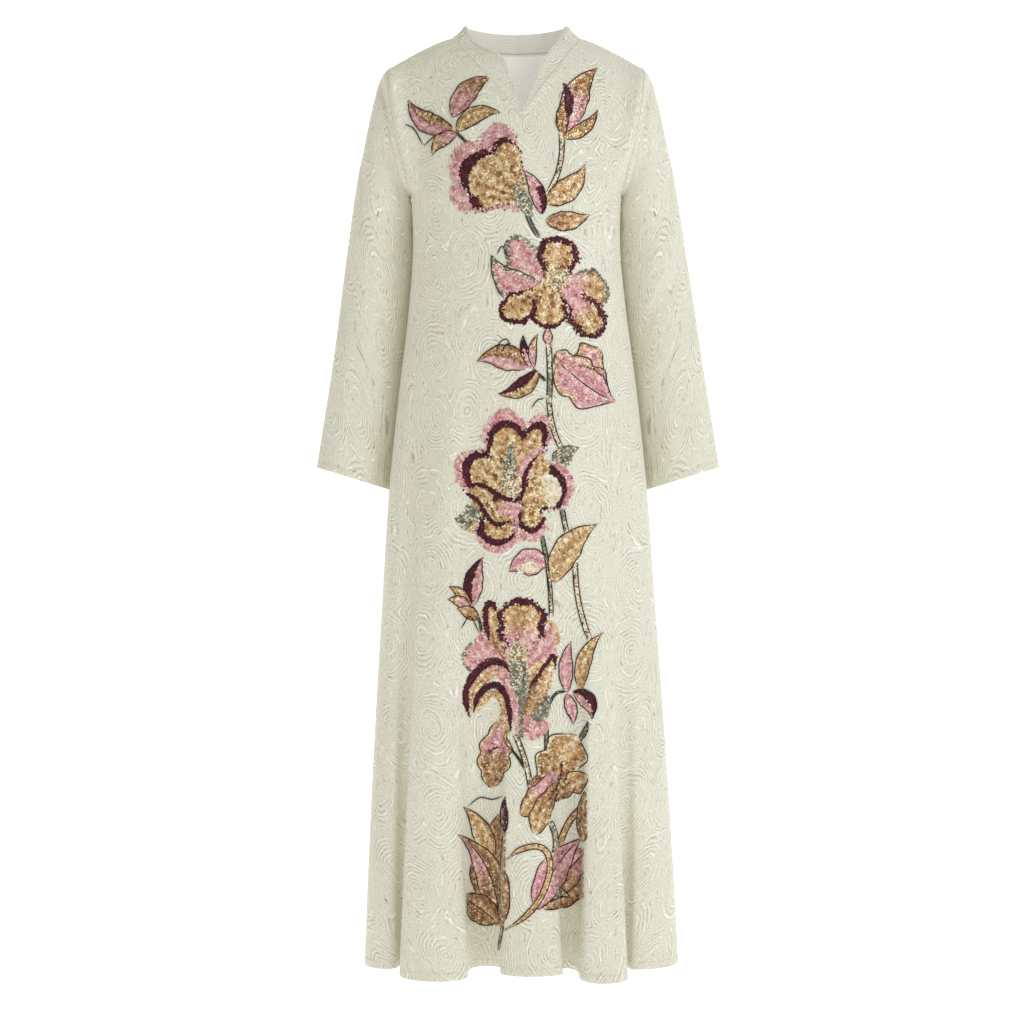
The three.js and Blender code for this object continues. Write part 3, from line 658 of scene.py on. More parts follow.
# The outer face of a panel, for rays to meet.
def outerTree(piece):
    rows = swayed(piece["rows"]) * mm
    height, count = rows.shape[:2]
    r, i = np.meshgrid(np.arange(height - 1), np.arange(count - 1), indexing="ij")
    at = (r * count + i).ravel()
    faces = np.stack([at, at + 1, at + count + 1, at + count], 1)
    return BVHTree.FromPolygons(rows.reshape(-1, 3).tolist(), faces.tolist())


# Faces of a run of rings: a quad between neighbours of two rings, and the two end rings.
def ringFaces(base, rings, sides):
    r, i = [part.ravel() for part in np.meshgrid(np.arange(rings - 1), np.arange(sides), indexing="ij")]
    j = (i + 1) % sides
    walls = base + np.stack([r * sides + i, r * sides + j, (r + 1) * sides + j, (r + 1) * sides + i], 1)
    last = base + (rings - 1) * sides
    return [*walls.tolist(), list(range(base + sides - 1, base - 1, -1)), list(range(last, last + sides))]


# An sRGB hex colour as linear red, green, blue: each part over 12.92 when dark, else to the power 2.4.
def linear(hexColour):
    parts = [int(hexColour[k:k + 2], 16) / 255 for k in (1, 3, 5)]
    return (*[p / 12.92 if p <= 0.04045 else ((p + 0.055) / 1.055) ** 2.4 for p in parts], 1.0)


# Fills a node's inputs: one given a socket is linked, and one given a value keeps it.
def fillInputs(tree, node, inputs):
    for key, value in inputs.items():
        if isinstance(value, bpy.types.NodeSocket):
            tree.links.new(value, node.inputs[key])
        else:
            node.inputs[key].default_value = value


# Adds a node. Settings may be one word, its operation, and a tuple of inputs fills them in order.
def addNode(tree, kind, settings=None, inputs=None, out=0):
    node = tree.nodes.new("ShaderNode" + kind)
    for key, value in ({"operation": settings} if isinstance(settings, str) else settings or {}).items():
        setattr(node, key, value)
    fillInputs(tree, node, dict(enumerate(inputs)) if isinstance(inputs, tuple) else inputs or {})
    return node.outputs[out]


def newMaterial(name):
    material = bpy.data.materials.new(name)
    material.use_nodes = True
    tree = material.node_tree
    return material, tree, tree.nodes["Principled BSDF"]


flatNoise = {"noise_dimensions": "2D"}
softStep = {"interpolation_type": "SMOOTHSTEP"}
colourMix = {"data_type": "RGBA"}

# Woven jacquard brocade: matt ivory ground with shiny satin-thread ovals in slight relief, broken grey outline
# threads, and a fine slub;
# the eye gets soft cream with white glints along the ovals. The near-white laid on the shiny threads is partly their
# own colour and partly painted highlight, with painted glints in fine specks, and the grey laid beside each heavy
# thread is painted shadow.
jacquard = {
    "ground": "#E4E4DA", "shade": "#D9D8CB", "slub": "#C9C6B6", "thread": "#FAF9F3",
    "outline": "#A39C8A", "speck": "#68645A",
    "rosetteMm": 78, "taller": 0.72, "ringMm": 4.4, "arcMm": 9.6, "slubMm": 2.4, "relief": 0.36,
    "cellBlend": 0.10, "cellJitter": 0.50, "waveCycles": 13, "heavyCycles": 7, "arcDrift": 5.0, "shadowAt": -0.62,
    "roughness": (0.72, 0.30), "height": {"faint": 0.55, "shinyThreadAndPaintedGlint": 0.45, "slub": 0.8}, "bump": 0.75,
    "sheen": (0.18, 0.5), "glow": ("#E0D8A0", 0.055),
}
# what pushes the ovals out of true: noise per metre, and how far in metres across and along
weavePushes = [(15.0, (0.016, 0.022, 0.0)), (85.0, (0.0042, 0.0042, 0.0))]
# noise fields on the cloth: per metre, detail, roughness
weaveNoises = {
    "drift": (22.0, 2.0, 0.5), "spread": (15.0, 2.0, 0.5), "broken": (48.0, 3.0, 0.6), "gaps": (34.0, 2.0, 0.55),
    "glint": (430.0, 1.0, 0.5), "patches": (5.0, 2.0, 0.5), "grit": (560.0, 2.0, 0.75),
}
# masks: the field each reads, where it starts, where it is whole, its values there
weaveMasks = {
    "heavyTop": ("heavy", 0.80, 0.97, 0.0, 1.0), "heavyKept": ("broken", 0.45, 0.58, 0.0, 1.0),
    "thinTop": ("lines", 0.62, 0.97, 0.0, 1.0), "thinKept": ("gaps", 0.36, 0.60, 0.0, 0.55),
    "glints": ("glint", 0.65, 0.71, 0.0, 1.0), "faintTop": ("lines", 0.2, 0.98, 0.0, 0.7),
    "heavyWide": ("heavy", 0.6, 0.98, 0.0, 1.0), "wideKept": ("broken", 0.40, 0.56, 0.0, 1.0),
    "greyTop": ("under", 0.70, 0.99, 0.0, 1.0), "greyKept": ("gaps", 0.42, 0.60, 0.0, 1.0),
    "shadowTop": ("shadow", -0.02, 0.05, 1.0, 0.0), "shadowKept": ("broken", 0.50, 0.62, 0.0, 1.0),
    "speckTop": ("under", 0.55, 0.95, 0.0, 1.0), "speckKept": ("specks", 0.62, 0.70, 0.0, 1.0),
    "shadeMask": ("patches", 0.35, 0.75, 0.0, 0.55), "slubMask": ("slub", 0.46, 0.72, 0.0, 1.0),
    "gritMask": ("grit", 0.48, 0.66, 0.0, 0.85),
}
# each kind of thread is the greatest of some products of masks and shares
weaveThreads = {
    "shinyThreadAndPaintedGlint": [("heavyTop", "heavyKept"), ("thinTop", "thinKept", "mostly"), ("glints", 0.8)],
    "faint": [("faintTop", "presence"), ("heavyWide", "wideKept")],
    "greyThreadAndShadow": [("greyTop", "greyKept", "presence"), ("shadowTop", "shadowKept", 0.8)],
    "speckle": [("speckTop", "speckKept")],
}
# colours laid over the ground in order: colour, mask, share; the near-white tint is partly painted highlight and the
# grey tint partly painted shadow
weaveTints = [
    ("shade", "shadeMask", 1.0), ("slub", "slubMask", 0.62), ("slub", "gritMask", 1.0), ("thread", "shinyThreadAndPaintedGlint", 0.90),
    ("outline", "greyThreadAndShadow", 0.66), ("speck", "speckle", 0.62),
]


def makeJacquard():
    look = jacquard
    material, tree, surface = newMaterial("ivoryWovenJacquard")

    def add(kind, settings, inputs, out=0):
        return addNode(tree, kind, settings, inputs, out)

    uv = add("UVMap", {"uv_map": "cloth"}, {})
    pushed = uv
    for perMetre, reach in weavePushes:
        warp = add("TexNoise", flatNoise, {"Vector": uv, "Scale": perMetre, "Detail": 2.0}, 1)
        centred = add("VectorMath", "SUBTRACT", (warp, (0.5, 0.5, 0.5)))
        pushed = add("VectorMath", "MULTIPLY_ADD", (centred, reach, pushed))
    fields = {key: add("TexNoise", flatNoise, {"Vector": uv, "Scale": perMetre, "Detail": detail, "Roughness": rough})
              for key, (perMetre, detail, rough) in weaveNoises.items()}
    # fields on cloth that is stretched along one way: from, stretch, noise per metre, detail, roughness
    for key, source, stretch, perMetre, detail, rough in (
        ("grain", pushed, (1.0, 0.30, 1.0), 17.0, 1.0, 0.5), ("specks", pushed, (1.0, 0.45, 1.0), 150.0, 2.0, 0.5),
        ("slub", uv, (0.45, 1.0, 1.0), 1000 / look["slubMm"], 2.0, 0.6),
    ):
        stretched = add("VectorMath", "MULTIPLY", (source, stretch))
        fields[key] = add("TexNoise", flatNoise, {
            "Vector": stretched, "Scale": perMetre, "Detail": detail, "Roughness": rough})
    distance = add("TexVoronoi", {"voronoi_dimensions": "2D", "feature": "SMOOTH_F1"}, {
        "Vector": add("VectorMath", "MULTIPLY", (pushed, (1.0, look["taller"], 1.0))),
        "Scale": 1000 / look["rosetteMm"],
        "Smoothness": look["cellBlend"], "Randomness": look["cellJitter"]})
    # waves run round the ovals, and between them drift into long upright ones; every second or third
    # thread is a heavy shiny one, with painted shadow in grey beside it
    far = add("MapRange", softStep, (distance, 0.50, 0.66, 0.0, 1.0))
    drift = add("Math", "MULTIPLY", (fields["drift"], look["arcDrift"]))
    for key, spacing, turned, cycles in (
            ("lines", "ringMm", None, "waveCycles"), ("heavy", "arcMm", drift, "heavyCycles")):
        rounds = add("Math", "MULTIPLY", (distance, 2 * math.pi * look["rosetteMm"] / look[spacing]))
        if turned is not None:
            rounds = add("Math", "ADD", (rounds, turned))
        upright = add("Math", "MULTIPLY", (fields["grain"], 2 * math.pi * look[cycles]))
        waves = {0: far, 2: add("Math", "SINE", (rounds,)), 3: add("Math", "SINE", (upright,))}
        fields[key] = add("Mix", {"data_type": "FLOAT"}, waves)
    fields["under"] = add("Math", "MULTIPLY", (fields["lines"], -1.0))
    beside = add("Math", "ADD", (fields["heavy"], look["shadowAt"]))
    fields["shadow"] = add("Math", "MULTIPLY", (beside, beside))
    # how much of the pattern shows, place by place
    fields["presence"] = add("MapRange", softStep, (fields["spread"], 0.34, 0.52, 0.0, 1.0))
    fields["mostly"] = add("Math", "MULTIPLY_ADD", (fields["presence"], 0.8, 0.2))
    for key, (source, *limits) in weaveMasks.items():
        fields[key] = add("MapRange", softStep, (fields[source], *limits))
    for key, products in weaveThreads.items():
        parts = []
        for first, *others in products:
            parts.append(fields[first])
            for other in others:
                parts[-1] = add("Math", "MULTIPLY", (parts[-1], fields.get(other, other)))
        fields[key] = parts[0]
        for part in parts[1:]:
            fields[key] = add("Math", "MAXIMUM", (fields[key], part))
    colour = linear(look["ground"])
    for tint, mask, share in weaveTints:
        amount = add("Math", "MULTIPLY", (fields[mask], share))
        colour = add("Mix", colourMix, {0: amount, 6: colour, 7: linear(look[tint])}, 2)
    height = 0.0
    for key, share in look["height"].items():
        height = add("Math", "MULTIPLY_ADD", (fields[key], share, height))
    dull, bright = look["roughness"]
    fillInputs(tree, surface, {
        "Base Color": colour,
        "Roughness": add("MapRange", {}, {"Value": fields["shinyThreadAndPaintedGlint"], "To Min": dull, "To Max": bright}),
        "Normal": add("Bump", {}, {"Strength": look["bump"], "Distance": look["relief"] * mm, "Height": height}),
        "Sheen Weight": look["sheen"][0], "Sheen Roughness": look["sheen"][1],
        # painted glow: a faint warm emission lifts and warms the shadows, as light through the thin cloth would
        "Emission Color": linear(look["glow"][0]), "Emission Strength": look["glow"][1]})
    return material


# Reverse of the jacquard: plain greyish weave with floats hidden, matt, like linen. Threads are about
# 0.6 mm; drawn at 2.2 mm so that they show. A painted glow, a faint emission, lifts its inside as daylight through
# the cloth would.
reverse = {"ground": "#D9D7CF", "thread": "#BFBCB0", "threadMm": 2.2, "roughness": 0.85, "glow": ("#DEDDD8", 0.22)}


def makeReverse():
    material, tree, surface = newMaterial("greyishReverseWeave")
    uv = addNode(tree, "UVMap", {"uv_map": "cloth"})
    # at scale 1 a band and its gap are pi / 10 m; each thread is threadMm wide, with as wide a gap
    bands = {"Vector": uv, "Scale": 1000 / reverse["threadMm"] / 20 * math.pi, "Distortion": 1.2,
             "Detail": 1.0, "Detail Scale": 3.0}
    warp, weft = [addNode(tree, "TexWave", {"wave_type": "BANDS", "bands_direction": way}, bands, 1) for way in "XY"]
    both = addNode(tree, "Math", "MULTIPLY", (warp, weft))
    slub = addNode(tree, "TexNoise", flatNoise, {"Vector": uv, "Scale": 260.0, "Detail": 2.0})
    amount = addNode(tree, "Math", "MULTIPLY", (both, slub))
    fillInputs(tree, surface, {
        "Base Color": addNode(tree, "Mix", colourMix, {
            0: amount, 6: linear(reverse["ground"]), 7: linear(reverse["thread"])}, 2),
        "Roughness": reverse["roughness"],
        "Emission Color": linear(reverse["glow"][0]), "Emission Strength": reverse["glow"][1],
        "Normal": addNode(tree, "Bump", {}, {"Strength": 0.5, "Distance": 0.3 * mm, "Height": both})})
    return material


# Polyester satin lining: smooth and pale grey-white, with a soft sheen and faint crosswise threads. A painted glow, a
# faint white emission, brightens it where it lies in shade inside.
satin = {"ground": "#EDEDEA", "shade": "#E0E0DD", "threadMm": 1.6, "roughness": 0.38, "glow": ("#F2F2F0", 0.22)}


def makeSatin():
    material, tree, surface = newMaterial("whitePolyesterSatin")
    uv = addNode(tree, "UVMap", {"uv_map": "cloth"})
    flat = addNode(tree, "VectorMath", "MULTIPLY", (uv, (0.08, 1.0, 1.0)))
    thread = addNode(tree, "TexNoise", flatNoise, {"Vector": flat, "Scale": 1000 / satin["threadMm"], "Detail": 2.0})
    fillInputs(tree, surface, {
        "Base Color": addNode(tree, "Mix", colourMix, {
            0: thread, 6: linear(satin["ground"]), 7: linear(satin["shade"])}, 2),
        "Roughness": satin["roughness"], "Sheen Weight": 0.2,
        "Emission Color": linear(satin["glow"][0]), "Emission Strength": satin["glow"][1],
        "Normal": addNode(tree, "Bump", {}, {"Strength": 0.15, "Distance": 0.2 * mm, "Height": thread})})
    return material


# Metallised PET sequins: a thin mirror-like film, each at its own tilt, so some glint near white and some look dark.
# Each colour's ramp runs from a painted shadow through its own tone to a painted glint, picked by a number on each
# sequin.
# key: name, colours, roughness, metallic
sequinColours = {
    "g": ("goldSequinPet", ("#7C5228", "#CFA672", "#F8E8C8"), 0.28, 0.42),
    "c": ("copperSequinPet", ("#57341F", "#A67A54", "#E0BC98"), 0.30, 0.42),
    "p": ("dustyPinkSequinPet", ("#A9626B", "#DBA3A7", "#F8DEDF"), 0.32, 0.42),
    "b": ("burgundySequinPet", ("#22030C", "#42081D", "#6C1A34"), 0.42, 0.42),
    "s": ("sageSequinPet", ("#3C413A", "#757B6D", "#B0B4A4"), 0.36, 0.42),
    "w": ("champagneSequinAndHighlightPet", ("#C9B48C", "#F1E6CC", "#FFFCF2"), 0.28, 0.12),
}


def makeSequinFinish(name, shadesToGlints, roughness, metallic):
    material, tree, surface = newMaterial(name)
    ramp = tree.nodes.new("ShaderNodeValToRGB")
    # painted shade and glint: each face's number picks its colour between the painted shadow and the painted glint
    tree.links.new(addNode(tree, "Attribute", {"attribute_name": "tone"}, out=2), ramp.inputs[0])
    ramp.color_ramp.elements.new(0.5)
    for element, tone in zip(ramp.color_ramp.elements, shadesToGlints):
        element.color = linear(tone)
    # rubbed film: fine scuffs about 1 mm apart
    place = addNode(tree, "TexCoord", out=3)
    scuff = addNode(tree, "TexNoise", {}, {"Vector": place, "Scale": 900.0, "Detail": 1.0})
    fillInputs(tree, surface, {
        "Base Color": ramp.outputs[0], "Metallic": metallic, "Roughness": roughness,
        "Normal": addNode(tree, "Bump", {}, {"Strength": 0.12, "Distance": 0.1 * mm, "Height": scuff})})
    return material


# Twisted threads: rayon cord, dark brown and matt, round the motifs, and ivory polyester, slightly
# glossy, for the stitching; both show a fine twist. Name, dark, light, roughness.
outlineCord = ("brownRayonCord", "#140A07", "#33211B", 0.85)
sewingThread = ("ivoryPolyesterThread", "#E2DFD0", "#C9C5B3", 0.6)


def makeThread(name, dark, light, roughness):
    material, tree, surface = newMaterial(name)
    place = addNode(tree, "TexCoord", out=3)
    twist = addNode(tree, "TexNoise", {}, {"Vector": place, "Scale": 700.0, "Detail": 2.0})
    fillInputs(tree, surface, {
        "Base Color": addNode(tree, "Mix", colourMix, {0: twist, 6: linear(dark), 7: linear(light)}, 2),
        "Roughness": roughness,
        "Normal": addNode(tree, "Bump", {}, {"Strength": 0.3, "Distance": 0.15 * mm, "Height": twist})})
    return material


# Generic petals and leaves placed over the front in the photograph's frame, in its pixels.
# kind, start, end, width, bend, colour at the start, colour at the end, and what is special:
# half (other colour on one side of the rib, halfSide, as far as halfUntil), edge (colour along the edge,
# edgeWidth wide, as far as edgeUntil), lobes, cord (its outline), rib (a cord along it), ragged, frayed
# (teeth so many pixels deep), fan (how far out a petal is fullest), within (the x it shows between).
# A band and a tendril give points that a smooth curve runs through.
# Sequins: pitch in pixels; size (radius), dome and lift in mm; tilt and jitter as shares.
flowerWork = {"pitch": 1.52, "size": 1.72, "burgundySize": 0.92, "dome": 0.36, "tilt": 0.36, "lift": 0.8,
              "jitter": 0.30, "seed": 11}
leafRows = [
    # top left spray
    ("stem", (456, 132), (480, 160), 1.6, 0.03, "s", "s", {}),
    ("leaf", (453, 117), (490, 74), 21, 0.10, "p", "c", {"rib": False}),
    ("leaf", (453, 128), (406, 102), 21, 0.14, "p", "p", {"half": "c"}),
    ("leaf", (457, 131), (500, 110), 17, 0.14, "g", "g", {}),
    ("leaf", (457, 134), (431, 154), 14, -0.14, "p", "g", {}),
    # top right spray
    ("leaf", (570, 130), (594, 66), 27, 0.10, "p", "c", {}),
    ("leaf", (563, 135), (562, 99), 12, 0.02, "c", "c", {}),
    ("leaf", (568, 118), (564, 80), 10, -0.06, "b", "b", {"cord": False}),
    ("leaf", (563, 137), (599, 112), 13, -0.10, "g", "c", {}),
    ("stem", (561, 134), (543, 200), 4.4, 0.10, "w", "w", {}),
    ("leaf", (545, 202), (587, 167), 23, -0.08, "g", "g", {}),
    ("leaf", (546, 220), (590, 217), 19, -0.05, "c", "g", {}),
    ("stem", (523, 198), (538, 236), 3.4, -0.06, "s", "s", {}),
    ("leaf", (542, 214), (525, 168), 15, -0.06, "p", "p", {"half": "b", "halfUntil": 0.55}),
    # stem and leaves under the second blossom
    ("stem", (548, 342), (549, 400), 5, 0.02, "w", "s", {}),
    ("stem", (549, 398), (561, 448), 4.6, -0.06, "w", "w", {}),
    ("stem", (533, 369), (545, 380), 1.8, 0.0, "s", "s", {}),
    ("leaf", (527, 367), (477, 358), 25, -0.12, "c", "c", {"half": "p", "halfSide": -1}),
    ("leaf", (537, 371), (499, 396), 18, 0.12, "g", "g", {"half": "b"}),
    ("leaf", (531, 367), (521, 335), 9, 0.04, "p", "b", {}),
    ("leaf", (534, 367), (536, 333), 8, 0.08, "p", "g", {}),
    ("petal", (572, 372), (600, 350), 32, 0.0, "p", "p", {"edge": "g", "edgeWidth": 5, "cord": True, "lobes": 2}),
    ("petal", (574, 370), (556, 352), 18, 0.0, "p", "p", {"edge": "g", "edgeWidth": 3, "cord": True}),
    ("leaf", (558, 362), (613, 405), 50, -0.02, "p", "p",
     {"lobes": 2, "edge": "g", "edgeWidth": 4, "edgeUntil": 0.55, "rib": True}),
    ("band", [(562, 371), (576, 366), (590, 368), (602, 376), (608, 388)], 2.0, 0, "c", "b", {}),
    # stems and leaves under the third blossom
    ("stem", (561, 505), (568, 540), 4.4, 0.0, "s", "w", {}),
    ("stem", (541, 533), (551, 618), 3.8, 0.03, "s", "w", {}),
    ("stem", (575, 562), (590, 640), 4.8, -0.05, "w", "w", {}),
    ("leaf", (554, 582), (594, 521), 27, 0.10, "g", "g", {}),
    ("leaf", (547, 563), (508, 569), 27, -0.10, "p", "p", {}),
    ("leaf", (540, 570), (516, 572), 8, -0.10, "w", "w", {"cord": False}),
    ("leaf", (536, 563), (520, 566), 4, -0.10, "w", "w", {"cord": False}),
    # left spray over the fourth blossom
    ("stem", (471, 606), (481, 632), 1.6, 0.1, "s", "s", {}),
    ("leaf", (472, 606), (480, 556), 19, 0.05, "p", "p", {"half": "b", "halfUntil": 0.95, "halfSide": -1}),
    ("leaf", (469, 606), (450, 585), 10, -0.08, "g", "g", {}),
    ("leaf", (469, 608), (448, 598), 11, -0.1, "p", "g", {}),
    ("leaf", (478, 619), (457, 607), 12, -0.06, "c", "g", {}),
    # right spray beside it
    ("leaf", (567, 692), (568, 640), 14, 0.04, "p", "p", {}),
    ("leaf", (581, 690), (599, 631), 15, 0.10, "g", "g", {}),
    ("leaf", (566, 694), (575, 724), 12, 0.03, "p", "p", {}),
    ("leaf", (573, 692), (593, 718), 16, 0.20, "p", "p", {"half": "b", "halfSide": -1}),
    ("band", [(566, 691), (556, 693), (549, 704), (545, 722), (545, 748)], 1.9, 0, "s", "s", {"cord": True}),
    # below the fourth blossom
    ("stem", (516, 736), (531, 792), 4.8, 0.04, "w", "w", {}),
    ("stem", (546, 722), (546, 770), 3.4, 0.0, "s", "s", {}),
    ("stem", (507, 745), (524, 768), 1.4, 0.05, "s", "s", {}),
    ("leaf", (491, 787), (499, 714), 34, 0.0, "c", "p", {"lobes": 4, "edge": "g", "edgeWidth": 3}),
    ("band", [(485, 753), (494, 748), (503, 747)], 2.0, 0, "b", "b", {"within": (472, 504.5)}),
    ("leaf", (578, 742), (589, 721), 5, -0.05, "s", "s", {}),
    ("petal", (540, 800), (577, 735), 48, 0.02, "c", "g", {"lobes": 3, "cord": True, "edge": "w", "edgeWidth": 3}),
    ("petal", (556, 796), (588, 776), 22, 0.05, "c", "g", {"cord": True, "lobes": 2}),
    ("petal", (552, 776), (521, 815), 24, 0.04, "p", "g", {"cord": True, "lobes": 1}),
    ("petal", (556, 786), (536, 834), 20, -0.08, "c", "g", {"cord": True}),
    ("stem", (561, 762), (548, 800), 1.5, 0.1, "b", "b", {"cord": False}),
    ("stem", (550, 822), (553, 858), 5, 0.10, "w", "w", {}),
    ("stem", (560, 842), (583, 806), 6, 0.08, "g", "c", {}),
    ("leaf", (583, 842), (588, 780), 14, 0.02, "c", "c", {"within": (560, 586.5)}),
    # foot of the plant
    ("leaf", (500, 920), (502, 802), 62, 0.0, "c", "c", {"rib": True, "within": (464, 505.5)}),
    ("leaf", (492, 862), (466, 804), 20, -0.05, "g", "g", {}),
    ("leaf", (505, 832), (503, 796), 7, 0.0, "b", "b", {}),
    ("leaf", (499, 926), (463, 831), 30, -0.10, "c", "p", {"rib": True, "half": "c"}),
    ("leaf", (498, 922), (456, 893), 28, -0.02, "c", "c", {"rib": True, "within": (465.5, 520)}),
    ("leaf", (543, 908), (610, 862), 40, 0.08, "c", "c", {"rib": True, "within": (500, 583.5)}),
    ("leaf", (548, 900), (594, 842), 30, 0.04, "c", "p", {"rib": True, "within": (500, 583.5)}),
    ("leaf", (546, 903), (570, 896), 11, 0.3, "s", "s", {}),
    ("leaf", (536, 909), (579, 834), 29, 0.05, "p", "p", {"rib": True, "within": (500, 583.5)}),
    ("band", [(507, 859), (519, 850), (536, 846), (547, 853), (549, 872), (540, 898), (524, 917), (503, 931)],
     5.4, 0, "g", "g", {"cord": True}),
    ("stem", (503, 925), (499, 948), 2.2, 0.0, "c", "c", {}),
]
